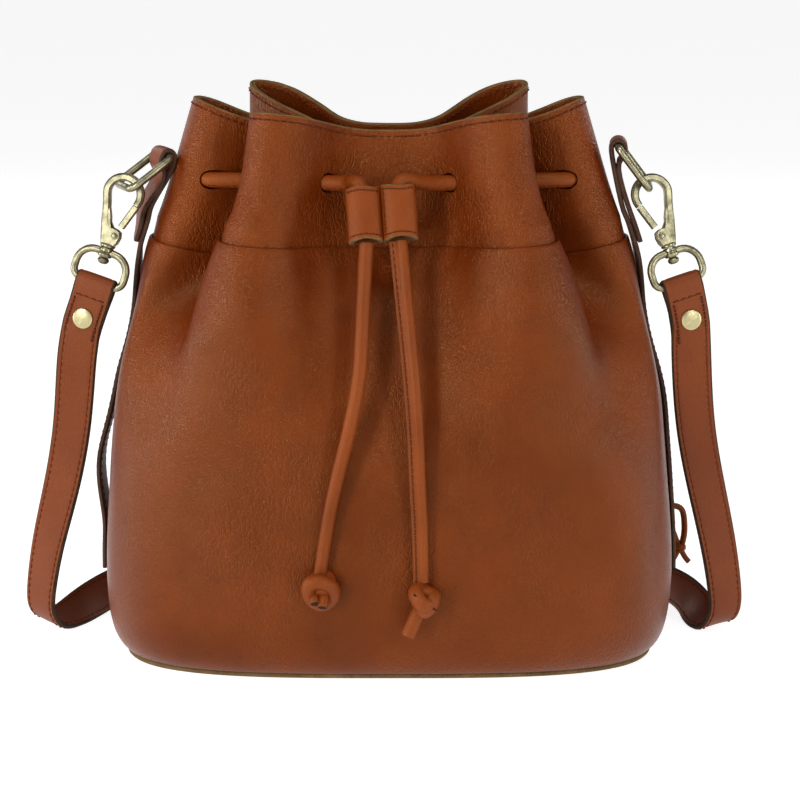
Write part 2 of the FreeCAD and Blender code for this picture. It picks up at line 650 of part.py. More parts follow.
def right_strap_run():
    t = STRAP_T
    over = LANE_Y + STRAP_T + 0.5
    return [
        (V(155.6, -13.0, 117.0), V(0.99, 0.12, 0.10), STRAP_W, t),
        (V(162.8, -8.0, 83.0), V(0.94, 0.24, 0.20), STRAP_W, t),
        (V(170.2, -3.0, 53.0), V(0.91, 0.34, 0.20), STRAP_W, t),
        (V(175.2, 1.0, 27.0), V(0.90, 0.41, 0.14), STRAP_W, t),
        (V(175.6, 2.6, 11.5), V(0.90, 0.42, 0.05), STRAP_W, t),
        (V(171.0, 8.6, 4.2), V(0.89, 0.42, 0.16), STRAP_W, t),
        (V(166.0, 21.0, 5.4), V(0.72, 0.38, 0.56), STRAP_W, t),
        (V(161.0, 39.0, 8.8), V(0.36, 0.16, 0.92), STRAP_W, t),
        (V(149.0, 62.0, 10.2), V(0, 0, 1), STRAP_W, t),
        (V(125.0, 84.0, 10.2), V(0, 0, 1), STRAP_W, t),
        (V(92.0, 97.0, 10.6), V(0, 0, 1), STRAP_W, t),
        (V(60.0, LANE_Y, 11.8), V(0, 0, 1), STRAP_W, t),
        (V(32.0, LANE_Y + 0.4, LANE_Z - 0.3), V(0, 0, 1), STRAP_W, t),
        (V(14.0, LANE_Y + 0.8, LANE_Z), V(0, 0, 1), STRAP_W, t),
        (V(1.0, LANE_Y + 4.4, LANE_Z), V(0, 0, 1), STRAP_W, t),
        (V(-10.0, LANE_Y + 6.8, LANE_Z), V(0, 0, 1), STRAP_W, t),
        (V(-27.0, LANE_Y + 5.6, LANE_Z), V(0, 0, 1), STRAP_W, t),
        (V(-50.0, over, LANE_Z), V(0, 0, 1), STRAP_W, t),
        (V(-74.0, over, LANE_Z), V(0, 0, 1), STRAP_W, t),
    ]


def buckle_end():
    """The left strap's far end: it turns round the buckle's bar and back under itself."""
    bar = V(BUCKLE_X, LANE_Y, LANE_Z)
    turn = BUCKLE_WIRE + FIT + FOLD_T / 2
    down = V(0, 0, -1)
    places = [V(-13.0, LANE_Y + 1.6, LANE_Z)]
    for k in range(9):
        a = math.pi * k / 8
        places.append(bar + V(turn * math.sin(a), turn * math.cos(a), 0))
    places += [V(x, LANE_Y - under, LANE_Z) for x, under in ((-13.0, 2.3), (-24.0, 2.5), (-44.0, 2.5))]
    first = (V(-22.0, LANE_Y, LANE_Z), down, STRAP_W, (FOLD_T + STRAP_T) / 2)
    return [first] + [(place, down, STRAP_W, FOLD_T) for place in places]


def make_strap_left():
    end = strap_end(CLIP_L, strap_path(CLIP_L, STRAP_LEFT_TO))
    start = (end[-1][0], end[-1][1], STRAP_W, STRAP_T)
    to = (STRAP_LEFT_TO + V(0, -0.7, 0), V(0.985, -0.08, -0.12), STRAP_W, STRAP_T)
    run = smooth([start, to] + left_strap_run(), 4)
    prong_cut = Part.makeBox(10, 14, 3.4, V(BUCKLE_X - 4.5, LANE_Y - 7, LANE_Z - 1.7))
    strap = ribbon(end[:-1] + run + buckle_end()).cut(prong_cut)
    return cut_rivet(strap, CLIP_L)


def make_strap_right():
    end = strap_end(CLIP_R, strap_path(CLIP_R, STRAP_RIGHT_TO))
    start = (end[-1][0], end[-1][1], STRAP_W, STRAP_T)
    to = (STRAP_RIGHT_TO + V(0, -0.7, 0), V(0.998, 0.03, 0.02), STRAP_W, STRAP_T)
    strap = ribbon(end[:-1] + smooth([start, to] + right_strap_run(), 4))
    for k in range(-2, 4):
        x = 5.0 + k * 18.0
        if k == 0:
            strap = strap.cut(Part.makeBox(11.5, 16, 3.6, V(BUCKLE_X + 2.8, LANE_Y - 5, LANE_Z - 1.8)))
        else:
            strap = strap.cut(Part.makeCylinder(1.5, 24, V(x, LANE_Y - 9, LANE_Z), V(0, 1, 0)))
    return cut_rivet(strap, CLIP_R)


def rivet_line(clip):
    """The middle of the strap's rivet and the way its cap faces."""
    far = STRAP_LEFT_TO if clip["side"] < 0 else STRAP_RIGHT_TO
    middle, down = strap_path(clip, far)(19.0)
    front = clip_axes(clip)[1] * clip["side"]
    return middle, unit(front - down * front.dot(down))


def cut_rivet(strap, clip):
    middle, facing = rivet_line(clip)
    return strap.cut(rod(middle - facing * 7, middle + facing * 7, RIVET_R))


def rivet(middle, facing, front, back, front_r=5.2, back_r=4.2):
    """A two-piece cap rivet: a low domed cap at distance front along facing, a flat one at distance back."""
    post = rod(middle - facing * back, middle + facing * front, RIVET_R)
    cap = Part.makeCylinder(front_r, 1.2, middle + facing * front, facing)
    cap = cap.makeFillet(0.7, [e for e in cap.Edges if abs(e.Length - 2 * math.pi * front_r) < 0.1][-1:])
    under = Part.makeCylinder(back_r, 0.8, middle - facing * back, facing * -1)
    return post.fuse(cap).fuse(under).removeSplitter()


def make_buckle():
    start = V(BUCKLE_X, LANE_Y, LANE_Z)
    out, half = V(BUCKLE_W, BUCKLE_RISE, 0), UP * BUCKLE_HALF
    corners = [start + half, start + out + half, start + out - half, start - half]
    return tube(rounded_path([start] + corners + [start], [1.6] * 4), BUCKLE_WIRE)


PRONG_R = 0.95


def make_prong():
    bar = V(BUCKLE_X, LANE_Y, LANE_Z)
    coil = Part.makeCylinder(BUCKLE_WIRE + 1.3, 2.4, bar + V(0, 0, -1.2)).cut(
        Part.makeCylinder(BUCKLE_WIRE + 0.08, 4, bar + V(0, 0, -2)))
    tip = bar + V(BUCKLE_W + 1.2, BUCKLE_RISE + BUCKLE_WIRE + PRONG_R + 0.6, 0)
    arm = rod(bar + V(1.6, 2.0, 0), tip, PRONG_R)
    return coil.fuse(arm.cut(Part.makeCylinder(BUCKLE_WIRE + 0.08, 4, bar + V(0, 0, -2)))).removeSplitter()


KEEPER_X = -52.0


def make_keeper():
    """The leather loop that holds the strap's free end."""
    wall, long = 1.4, 9.0
    y0, y1 = LANE_Y - STRAP_T / 2 - 0.4, LANE_Y + 1.5 * STRAP_T + 0.9
    high, deep = STRAP_W + 2 * FIT, y1 - y0
    inner = Part.makeBox(2 * long, deep, high, V(KEEPER_X - long, y0, LANE_Z - high / 2))
    corner = V(KEEPER_X - long / 2, y0 - wall, LANE_Z - high / 2 - wall)
    outer = Part.makeBox(long, deep + 2 * wall, high + 2 * wall, corner)
    return outer.cut(inner)


# ---------------------------------------------------------------- side zip pocket
def zip_frame():
    """The zip's lower end, and its outward, crosswise and upward directions."""
    def on_skin(z):
        low, high = 0.5, 1.0
        share = height_share(z, 0.98)
        for _ in range(40):
            mid = (low + high) / 2
            low, high = (low, mid) if -OUTER.value(mid, share).y < ZIP_Y else (mid, high)
        return OUTER.value((low + high) / 2, share)
    p, q = on_skin(ZIP_Z0), on_skin(ZIP_Z1)
    p, q = V(p.x, ZIP_Y, p.z), V(q.x, ZIP_Y, q.z)
    up = unit(q - p)
    out = unit(V(0.958, 0.287, 0) - up * (0.958 * up.x))
    return p, out, up.cross(out), up


def zip_box(along, across, low, high, shift=0.0):
    """A box in the zip's axes: from along[0] to along[1] up the zip, and so on."""
    p, out, side, up = zip_frame()
    m = FreeCAD.Matrix(
        out.x, side.x, up.x, p.x, out.y, side.y, up.y, p.y, out.z, side.z, up.z, p.z, 0, 0, 0, 1)
    box = Part.makeBox(high - low, across, along[1] - along[0], V(low, shift - across / 2, along[0]))
    box.transformShape(m)
    return box


ZIP_LONG = ZIP_Z1 - ZIP_Z0
SLIDE_AT = SLIDER_Z - ZIP_Z0


def make_zip():
    p, out, side, up = zip_frame()
    tape = Part.Compound([zip_box((-3, ZIP_LONG + 3), 6.0, -5.0, -4.4, s * 4.0) for s in (-1, 1)])
    teeth = Part.Compound([
        zip_box((SLIDE_AT + 5.4, ZIP_LONG), 2.2, -3.7, -1.9, s * 1.15) for s in (-1, 1)])
    stops = Part.Compound([
        zip_box((ZIP_LONG + 0.2, ZIP_LONG + 1.8), 5.2, -3.7, -1.7),
        zip_box((-2.2, -0.6), 5.2, -3.7, -1.7)])
    return tape, teeth, stops


def make_slider():
    s = SLIDE_AT
    top = zip_box((s - 5, s + 5), 8.2, -1.5, -0.3)
    under = zip_box((s - 5, s + 5), 8.2, -6.2, -5.4)
    bridge = zip_box((s - 4.6, s + 0.5), 1.0, -5.4, -1.5)
    body = top.fuse(under).fuse(bridge)
    p, out, side, up = zip_frame()
    base = p + up * s
    bail = [base + out * o + up * u for o, u in ((-0.4, 3.6), (2.2, 3.4), (2.2, -2.6), (-0.4, -3.0))]
    return body.fuse(tube(rounded_path(bail, [1.2, 1.2]), 0.7)).removeSplitter()


def puller_points():
    """The puller's hanging ring: hinge point on the bail and its lower end."""
    p, out, side, up = zip_frame()
    base = p + up * SLIDE_AT
    return base + out * 0.6 + up * 0.4, out, side, up


PULLER_LONG, PULLER_WIRE = 9.6, 0.75
THONG_R, THONG_KNOT_R = 1.4, 4.2


def puller_down(out, up):
    return unit(out * 0.55 - up)


def make_puller():
    top, out, side, up = puller_points()
    half, long = side * 2.6, puller_down(out, up) * PULLER_LONG
    corners = [top - half, top - half + long, top + half + long, top + half]
    return tube(rounded_path([top] + corners + [top], [1.4] * 4), PULLER_WIRE)


def thong_route():
    """The leather lace of the zip pull: its knot, and its loop through the puller and back to the knot."""
    hinge, out, side, up = puller_points()
    low = hinge + puller_down(out, up) * PULLER_LONG
    knot = V(154.5, 24.5, 41.0)
    r = THONG_R + PULLER_WIRE + 0.35
    loop = [
        knot + V(-2.0, 0, 2.0), low - out * r - up * 8, low - out * r + up * r, low + out * r + up * r,
        low + out * 8 - up * 1, low + out * 8.6 - up * 8, knot + V(2.4, 0, 2.4)]
    return knot, loop


def make_thong():
    """The lace's loop, and the knot with its two short ends."""
    knot, loop = thong_route()
    ball = Part.makeSphere(THONG_KNOT_R, knot)
    lace = tube(rounded_path(loop, [4.0, 1.9, 1.9, 3.0, 4.0]), THONG_R).cut(ball)
    for end in (V(-4.5, 0.5, -9.0), V(5.0, -0.5, -8.5)):
        ball = ball.fuse(rod(knot + end * 0.2, knot + end, THONG_R))
    return lace, ball


def make_pocket():
    """The zip pocket's flat pouch, between the back panel and the lining."""
    pouch = leather(9.2, 10.0, height_share(52, 0.9), height_share(150, 0.9))
    keep = Part.makeBox(118, 90, 120, V(20, 12, 50))
    mouth = zip_box((-8, ZIP_LONG + 8), 14.0, -14.0, 8.0)
    return back_of(pouch).common(keep).cut(mouth)


# ---------------------------------------------------------------- build
def main():
    lower, yoke, face, lining = make_half(FRONT_DIP)
    back_lower, back_yoke, back_face, back_lining = (back_of(shape) for shape in make_half(BACK_DIP))
    slot = zip_box((-2.5, ZIP_LONG + 2), 10.0, -8.0, 8.0)
    save("front_panel", lower)
    save("back_panel", back_lower.cut(slot))
    save("front_yoke", punch_holes(yoke))
    save("back_yoke", punch_holes(back_yoke))
    save("front_facing", punch_holes(face))
    save("back_facing", punch_holes(back_face))
    floor = plate(BASE_A - 8.5, BASE_B - 8.5, BASE_T + BOARD_T + 0.2, 0.8)
    mouth = zip_box((-8, ZIP_LONG + 8), 20.0, -12.0, 8.0)
    save("lining", Part.Compound([lining, back_lining.cut(mouth), floor]))
    save("base_panel", plate(BASE_A, BASE_B, 0, BASE_T))
    ring = plate(BASE_A + WELT_W, BASE_B + WELT_W, 0, WELT_H).cut(plate(BASE_A, BASE_B, -1, WELT_H + 2))
    save("base_welt", ring)
    save("base_board", plate(BASE_A - 7, BASE_B - 7, BASE_T, BOARD_T))

    save("drawstring", tube(drawstring_path(), CORD_R))
    save("toggle", make_toggle())
    tails = tail_routes()
    tips = V(0.6, -1.5, -20.5), V(-7.5, -1.0, -26.0)
    for name, route, tip in zip(("left", "right"), tails, tips):
        save("cord_tail_" + name, cord(route, CORD_R, "tail " + name))
        save("knot_" + name, make_knot(route[-1], route[-1] + tip))

    hook, eye, gate, pin, spring = make_hook(), make_eye(), make_gate(), make_pin(), make_gate_spring()
    for name, clip in (("left", CLIP_L), ("right", CLIP_R)):
        save("ring_" + name, make_ring(clip))
        save("clip_hook_" + name, place(hook, clip))
        save("clip_eye_" + name, place(eye, clip))
        save("clip_gate_" + name, place(gate, clip))
        save("gate_pin_" + name, place(pin, clip))
        save("gate_spring_" + name, place(spring, clip))
        save("side_band_" + name, make_band(clip))
        save("strap_rivet_" + name, rivet(*rivet_line(clip), 2.5, 2.85))
    save("strap_left", make_strap_left())
    save("strap_right", make_strap_right())
    save("strap_keeper", make_keeper())
    save("buckle_frame", make_buckle())
    save("buckle_prong", make_prong())

    tape, teeth, stops = make_zip()
    save("zip_tape", tape)
    save("zip_teeth", teeth)
    save("zip_stops", stops)
    save("zip_slider", make_slider())
    save("zip_puller", make_puller())
    thong, thong_knot = make_thong()
    save("zip_thong", thong)
    save("zip_thong_knot", thong_knot)
    save("pocket_pouch", make_pocket())


main()
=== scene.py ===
import json
import math
import bmesh
import bpy
import numpy as np
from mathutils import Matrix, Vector, noise


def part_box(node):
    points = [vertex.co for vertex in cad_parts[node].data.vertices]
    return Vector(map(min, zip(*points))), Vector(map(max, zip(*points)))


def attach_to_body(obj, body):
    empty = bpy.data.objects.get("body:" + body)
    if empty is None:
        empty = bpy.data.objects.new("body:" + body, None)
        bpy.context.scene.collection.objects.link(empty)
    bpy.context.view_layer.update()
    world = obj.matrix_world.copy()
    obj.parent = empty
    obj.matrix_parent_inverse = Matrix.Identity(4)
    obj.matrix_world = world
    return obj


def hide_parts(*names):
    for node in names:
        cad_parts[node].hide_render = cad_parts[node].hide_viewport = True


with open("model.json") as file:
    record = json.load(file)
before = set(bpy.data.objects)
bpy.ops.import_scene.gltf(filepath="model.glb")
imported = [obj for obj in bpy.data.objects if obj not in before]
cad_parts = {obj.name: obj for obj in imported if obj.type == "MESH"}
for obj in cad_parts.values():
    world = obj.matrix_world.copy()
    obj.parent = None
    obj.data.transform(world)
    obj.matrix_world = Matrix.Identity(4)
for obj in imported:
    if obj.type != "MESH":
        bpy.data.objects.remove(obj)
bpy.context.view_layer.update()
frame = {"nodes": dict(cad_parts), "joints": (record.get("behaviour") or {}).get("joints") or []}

# The looks of a drawstring bucket bag. Metres throughout; MM turns the drawn sizes into metres.
MM = 0.001
NODES = frame["nodes"]
JOINTS = {j["name"]: j for j in frame["joints"]}
RIGHT, AHEAD, UP = Vector((1, 0, 0)), Vector((0, -1, 0)), Vector((0, 0, 1))
SIDES = {"left": -1, "right": 1}


def mm(*values):
    return Vector(values) * MM


# ---------------------------------------------------------------- camera
# The lens and the camera's place in millimetres, and how far it looks down in degrees.
LENS, CAMERA_AT, CAMERA_DROP = 97.07, (5.6, -1076, 379), 13.2


def make_camera():
    data = bpy.data.cameras.new("camera")
    data.sensor_width = 36
    data.lens = LENS
    data.clip_start = 0.05
    camera = bpy.data.objects.new("camera", data)
    camera.location = mm(*CAMERA_AT)
    camera.rotation_euler = (math.radians(90 - CAMERA_DROP), 0, 0)
    bpy.context.scene.collection.objects.link(camera)
    bpy.context.scene.camera = camera


# ---------------------------------------------------------------- material building
def add(tree, kind, inputs=None, **settings):
    """A shader node with its settings, values and links."""
    made = tree.nodes.new("ShaderNode" + kind)
    for name, value in settings.items():
        setattr(made, name, value)
    for name, value in (inputs or {}).items():
        if isinstance(value, bpy.types.NodeSocket):
            tree.links.new(value, made.inputs[name])
        else:
            made.inputs[name].default_value = value
    return made


def start_material(name):
    made = bpy.data.materials.new(name)
    made.use_nodes = True
    tree = made.node_tree
    tree.nodes.clear()
    place = add(tree, "TexCoord").outputs["Object"]
    return made, tree, place


def finish_material(tree, shader, height=None, distance=0.0002, strength=1.0):
    if height is not None:
        bump = add(tree, "Bump", {"Strength": strength, "Distance": distance, "Height": height})
        tree.links.new(bump.outputs["Normal"], shader.inputs["Normal"])
    out = add(tree, "OutputMaterial")
    tree.links.new(shader.outputs["BSDF"], out.inputs["Surface"])


def noise_of(tree, place, scale, detail=2.0, roughness=0.5, distortion=0.0):
    made = add(tree, "TexNoise", {
        "Vector": place, "Scale": scale, "Detail": detail, "Roughness": roughness, "Distortion": distortion})
    return made.outputs["Fac"]


def spread(tree, value, low, high, to_low=0.0, to_high=1.0):
    """The value, rescaled and clamped."""
    made = add(tree, "MapRange", {
        "Value": value, "From Min": low, "From Max": high, "To Min": to_low, "To Max": to_high})
    return made.outputs["Result"]


def math_of(tree, operation, a, b=0.0):
    made = add(tree, "Math", {0: a, 1: b}, operation=operation)
    return made.outputs[0]


def times(tree, a, b):
    return math_of(tree, "MULTIPLY", a, b)


def plus(tree, *values):
    total = values[0]
    for value in values[1:]:
        total = math_of(tree, "ADD", total, value)
    return total


def principled(tree, colour, roughness, specular, **more):
    return add(tree, "BsdfPrincipled", {
        "Base Color": colour, "Roughness": roughness, "Specular IOR Level": specular, **more})


def mixed(tree, factor, a, b):
    made = add(tree, "Mix", {"Factor": factor}, data_type="RGBA")
    for name, value in (("A", a), ("B", b)):
        socket = [s for s in made.inputs if s.name == name and s.type == "RGBA"][0]
        if isinstance(value, bpy.types.NodeSocket):
            tree.links.new(value, socket)
        else:
            socket.default_value = (*value, 1)
    return [s for s in made.outputs if s.type == "RGBA"][0]


def warped(tree, place, scale, amount):
    """The place, pushed about a little by noise."""
    push = add(tree, "TexNoise", {"Vector": place, "Scale": scale, "Detail": 2.0})
    centred = add(tree, "VectorMath", {0: push.outputs["Color"], 1: (0.5, 0.5, 0.5)}, operation="SUBTRACT")
    scaled = add(tree, "VectorMath", {0: centred.outputs[0], "Scale": amount}, operation="SCALE")
    return add(tree, "VectorMath", {0: place, 1: scaled.outputs[0]}, operation="ADD").outputs[0]


# ---------------------------------------------------------------- materials
def leather(name, dark, light, grain=1.0, creases=1.0, rough=(0.27, 0.41), gloss=(0.42, 1.0, 0.60, 0.27)):
    """Satin leather with a fine pebble, soft creases, uneven colour and painted shade darkening the pebble's
    hollows.
    """
    made, tree, place = start_material(name)
    patch = noise_of(tree, place, 14, 3)
    cloud = noise_of(tree, place, 45, 4, 0.6)
    cells = add(tree, "TexVoronoi", {"Vector": warped(tree, place, 300, 0.0012), "Scale": 980.0},
                feature="DISTANCE_TO_EDGE")
    pebble = spread(tree, cells.outputs["Distance"], 0.0, 0.30)
    fine = noise_of(tree, place, 2300, 3, 0.6)
    tall = add(tree, "Mapping", {"Vector": warped(tree, place, 120, 0.004), "Scale": (1.0, 1.0, 0.45)})
    long_cells = add(tree, "TexVoronoi", {"Vector": tall.outputs[0], "Scale": 420.0},
                     feature="DISTANCE_TO_EDGE")
    crease = spread(tree, long_cells.outputs["Distance"], 0.0, 0.16)
    where = spread(tree, noise_of(tree, place, 24, 2), 0.44, 0.62)
    grain_here = spread(tree, patch, 0.35, 0.65, 0.45, 1.0)
    pebbled = times(tree, pebble, grain_here)
    creased = times(tree, crease, where)
    height = plus(tree, times(tree, pebbled, 0.55 * grain), times(tree, fine, 0.25 * grain),
                  times(tree, creased, 0.75 * creases))
    tone = plus(tree, times(tree, patch, 0.55), times(tree, cloud, 0.45))
    colour = mixed(tree, spread(tree, tone, 0.36, 0.64), dark, light)
    # Painted shade: in the pebble grain's hollows the colour darkens towards 0.4 of the dark tone.
    pebble_hollow_shade = spread(tree, pebbled, 0.0, 0.5, 0.22, 0.0)
    colour = mixed(tree, pebble_hollow_shade, colour, tuple(c * 0.4 for c in dark))
    glossy = plus(tree, cloud, times(tree, pebble, -0.15))
    shader = principled(tree, colour, spread(tree, glossy, 0.2, 0.75, *rough), gloss[0],
                        **{"Specular Tint": (*gloss[1:], 1)})
    finish_material(tree, shader, height, 0.00028, 0.85)
    return made


def raw_edge(name, dark, light):
    """The cut edge of leather: fibrous, with the finish's thin darker lines."""
    made, tree, place = start_material(name)
    fibres = noise_of(tree, place, 900, 4, 0.7)
    patch = noise_of(tree, place, 120, 3)
    tone = plus(tree, times(tree, fibres, 0.6), times(tree, patch, 0.4))
    colour = mixed(tree, spread(tree, tone, 0.38, 0.62), dark, light)
    shader = principled(tree, colour, spread(tree, fibres, 0.3, 0.7, 0.6, 0.85), 0.12)
    finish_material(tree, shader, fibres, 0.0002, 0.6)
    return made


def cloth(name, dark, light, per_metre=1500.0):
    """Plain woven cloth."""
    made, tree, place = start_material(name)
    parts = add(tree, "SeparateXYZ", {"Vector": place})
    across = plus(tree, parts.outputs["X"], parts.outputs["Y"])
    one, two = [math_of(tree, "SINE", times(tree, way, per_metre * math.pi))
                for way in (across, parts.outputs["Z"])]
    weave = spread(tree, times(tree, one, two), -1, 1)
    slub = noise_of(tree, place, 160, 4)
    tone = plus(tree, times(tree, weave, 0.4), slub)
    colour = mixed(tree, spread(tree, tone, 0.35, 1.0), dark, light)
    shader = principled(tree, colour, spread(tree, slub, 0.3, 0.7, 0.75, 0.95), 0.2,
                        **{"Sheen Weight": 0.3, "Sheen Roughness": 0.5})
    finish_material(tree, shader, weave, 0.00015, 0.6)
    return made


def thread(name, dark, light):
    """Twisted sewing thread."""
    made, tree, place = start_material(name)
    strands = noise_of(tree, place, 2600, 2)
    colour = mixed(tree, spread(tree, strands, 0.35, 0.65), dark, light)
    shader = principled(tree, colour, spread(tree, strands, 0.3, 0.7, 0.5, 0.7), 0.12)
    finish_material(tree, shader, strands, 0.00008, 0.5)
    return made


def antique_brass(name, bright, patina_share):
    """Pale brass with a dark patina that is rubbed off its edges; the darkening in its hollows, found by
    pointiness, is partly patina and partly painted shade.
    """
    made, tree, place = start_material(name)
    patina = noise_of(tree, place, 190, 5, 0.62)
    fine = noise_of(tree, place, 1400, 3, 0.6)
    shape = add(tree, "NewGeometry").outputs["Pointiness"]
    # Partly patina and partly painted shade: low pointiness (the hollows) pulls the colour towards the dark
    # tone.
    hollow = spread(tree, shape, 0.43, 0.53, 0.8, 0.0)
    patina_and_shade_share = plus(tree, hollow, spread(tree, patina, 0.42, 0.72, 0.0, patina_share))
    colour = mixed(tree, spread(tree, patina_and_shade_share, 0.0, 1.0), bright, (0.045, 0.038, 0.020))
    dull = plus(tree, patina, times(tree, fine, 0.4))
    roughness = spread(tree, dull, 0.4, 0.95, 0.26, 0.44)
    shader = add(tree, "BsdfPrincipled", {"Base Color": colour, "Metallic": 1.0, "Roughness": roughness})
    finish_material(tree, shader, fine, 0.00003, 0.35)
    return made


def dark_board():
    made, tree, place = start_material("board")
    fibres = noise_of(tree, place, 500, 4)
    colour = mixed(tree, fibres, (0.03, 0.025, 0.02), (0.08, 0.06, 0.05))
    roughness = spread(tree, fibres, 0.3, 0.7, 0.7, 0.9)
    shader = add(tree, "BsdfPrincipled", {"Base Color": colour, "Roughness": roughness})
    finish_material(tree, shader, fibres, 0.0002, 0.4)
    return made


def floor_material():
    """A white sweep, a little brighter than the light on it makes it, as a studio floor is."""
    made, tree, place = start_material("floor")
    soft = noise_of(tree, place, 3, 2)
    colour = mixed(tree, soft, (0.45, 0.45, 0.45), (0.47, 0.47, 0.47))
    shader = principled(tree, colour, 0.9, 0.1, **{"Emission Color": (1, 1, 1, 1), "Emission Strength": 0.84})
    finish_material(tree, shader)
    return made


def make_materials():
    return {
        "bag": leather("bag_leather", (0.088, 0.0104, 0.0003), (0.136, 0.0196, 0.0006)),
        "yoke": leather("yoke_leather", (0.096, 0.0120, 0.0003), (0.150, 0.0222, 0.0006), 1.2, 1.4),
        "strap": leather("strap_leather", (0.128, 0.0216, 0.0030), (0.164, 0.0318, 0.0052), 0.45, 0.3,
                         (0.40, 0.54), (0.3, 1.0, 0.8, 0.6)),
        "cord": leather("cord_leather", (0.150, 0.0245, 0.0018), (0.205, 0.0400, 0.0042), 0.6, 0.4,
                        (0.38, 0.52), (0.3, 1.0, 0.72, 0.45)),
        "suede": raw_edge("suede_side", (0.10, 0.030, 0.010), (0.16, 0.052, 0.020)),
        "edge": raw_edge("raw_edge", (0.080, 0.044, 0.015), (0.175, 0.102, 0.040)),
        "painted": raw_edge("painted_edge", (0.018, 0.009, 0.005), (0.055, 0.027, 0.012)),
        "thread": thread("thread", (0.070, 0.0105, 0.0018), (0.130, 0.0240, 0.0035)),
        "strap_thread": thread("strap_thread", (0.105, 0.0170, 0.0025), (0.165, 0.0310, 0.0050)),
        "band_edge": raw_edge("band_edge", (0.040, 0.019, 0.012), (0.075, 0.038, 0.024)),
        # Near-black painted shade for the insides of needle holes and of the cords' hollow cut ends.
        "hole": thread("needle_hole", (0.012, 0.004, 0.002), (0.028, 0.008, 0.003)),
        "lining": cloth("lining_cloth", (0.20, 0.13, 0.075), (0.32, 0.22, 0.135)),
        "zip": cloth("zip_tape_cloth", (0.07, 0.026, 0.010), (0.12, 0.045, 0.018), 2400.0),
        "brass": antique_brass("antique_brass", (0.33, 0.305, 0.19), 0.75),
        "cap_brass": antique_brass("cap_brass", (0.52, 0.46, 0.25), 0.12),
        "board": dark_board(),
    }


# ---------------------------------------------------------------- mesh building
def mesh_object(name, points, faces, materials, indices=None, sharp=None):
    """An object from points and faces; indices gives each face's material, sharp an angle in degrees."""
    mesh = bpy.data.meshes.new(name)
    mesh.from_pydata([tuple(p) for p in points], [], [tuple(int(i) for i in f) for f in faces])
    for material in materials:
        mesh.materials.append(material)
    if indices is not None:
        mesh.polygons.foreach_set("material_index", np.array(indices, dtype=np.int32))
    mesh.shade_smooth()
    if sharp is not None:
        mesh.set_sharp_from_angle(angle=math.radians(sharp))
    mesh.update()
    made = bpy.data.objects.new(name, mesh)
    bpy.context.scene.collection.objects.link(made)
    return made


def lattice_faces(rows, columns, close_rows=False, close_columns=False, start=0):
    """Quads of a grid of points stored row by row."""
    faces = []
    for r in range(rows if close_rows else rows - 1):
        for c in range(columns if close_columns else columns - 1):
            a = start + r * columns + c
            b = start + r * columns + (c + 1) % columns
            d = start + ((r + 1) % rows) * columns + c
            e = start + ((r + 1) % rows) * columns + (c + 1) % columns
            faces.append((a, b, e, d))
    return faces


class Build:
    """Collects pieces of mesh with materials into one object."""

    def __init__(self):
        self.points = []
        self.faces = []
        self.slots = []

    def grid(self, rows, slot, close_rows=False, close_columns=False):
        """rows of equally many points; slot is one number, or one for each column of faces."""
        start, columns = len(self.points), len(rows[0])
        for row in rows:
            self.points.extend(row)
        for k, face in enumerate(lattice_faces(len(rows), columns, close_rows, close_columns, start)):
            wide = columns if close_columns else columns - 1
            self.faces.append(face)
            self.slots.append(slot[k % wide] if isinstance(slot, (list, tuple)) else slot)

    def lid(self, first, count, slot, flip=False):
        """One face over a loop of points stored one after another."""
        loop = list(range(first, first + count))
        self.faces.append(tuple(reversed(loop)) if flip else tuple(loop))
        self.slots.append(slot)

    def tube(self, loops, slot, cap=0, closed=False):
        """A solid through loops of points, with caps on its ends unless it closes on itself."""
        start, count = len(self.points), len(loops[0])
        self.grid(loops, slot, closed, True)
        if not closed:
            self.lid(start, count, cap, True)
            self.lid(start + (len(loops) - 1) * count, count, cap)

    def sweep(self, line, first, profile, slot=0, cap=0, closed=False):
        """A solid with the profile carried along a line, and the frames it was carried in."""
        frames = carried_frames(line, first, closed)
        self.tube(loops_of(line, frames, profile), slot, cap, closed)
        return frames

    def object(self, name, materials, sharp=None):
        made = mesh_object(name, self.points, self.faces, materials, self.slots, sharp)
        made.data.validate()
        fix_normals(made)
        return made


def fix_normals(piece):
    bm = bmesh.new()
    bm.from_mesh(piece.data)
    bmesh.ops.recalc_face_normals(bm, faces=bm.faces)
    bm.to_mesh(piece.data)
    bm.free()


def attach(piece, body, slot, *nodes):
    """The piece rides on its body and stands for the CAD's nodes, if any, which it hides; slot is not used."""
    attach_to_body(piece, body)
    if nodes:
        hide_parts(*nodes)


def unit(v):
    return Vector(v).normalized()


def ellipse(middle, one, two, sides):
    """A loop of points round a middle, through the ends of two half axes."""
    angles = [math.tau * k / sides for k in range(sides)]
    return [middle + one * math.cos(a) + two * math.sin(a) for a in angles]


def half_turn(middle, start, over, steps=8):
    """Points of half a turn from middle + start, by middle + over, to middle - start."""
    angles = [math.pi * k / steps for k in range(steps + 1)]
    return [middle + start * math.cos(a) + over * math.sin(a) for a in angles]


def carried_frames(line, first=None, closed=False):
    """Side and out directions along a line, carried without twist from the first side direction."""
    frames = []
    count = len(line)
    side = first
    for k in range(count):
        before = line[k - 1] if (k > 0 or closed) else line[k]
        after = line[(k + 1) % count] if (k < count - 1 or closed) else line[k]
        along = unit(after - before)
        if side is None:
            side = along.orthogonal()
        side = unit(side - along * side.dot(along))
        frames.append((side, along.cross(side)))
    return frames


def loops_of(line, frames, profile):
    """Loops of points: the profile's (side, out) offsets at every point of the line. profile may be a function
    of the share along the line."""
    loops = []
    for k, (point, (side, out)) in enumerate(zip(line, frames)):
        shape = profile(k / (len(line) - 1)) if callable(profile) else profile
        loops.append([point + side * a + out * b for a, b in shape])
    return loops


def circle(radius, sides):
    angles = [math.tau * k / sides for k in range(sides)]
    return [(radius * math.cos(a), radius * math.sin(a)) for a in angles]


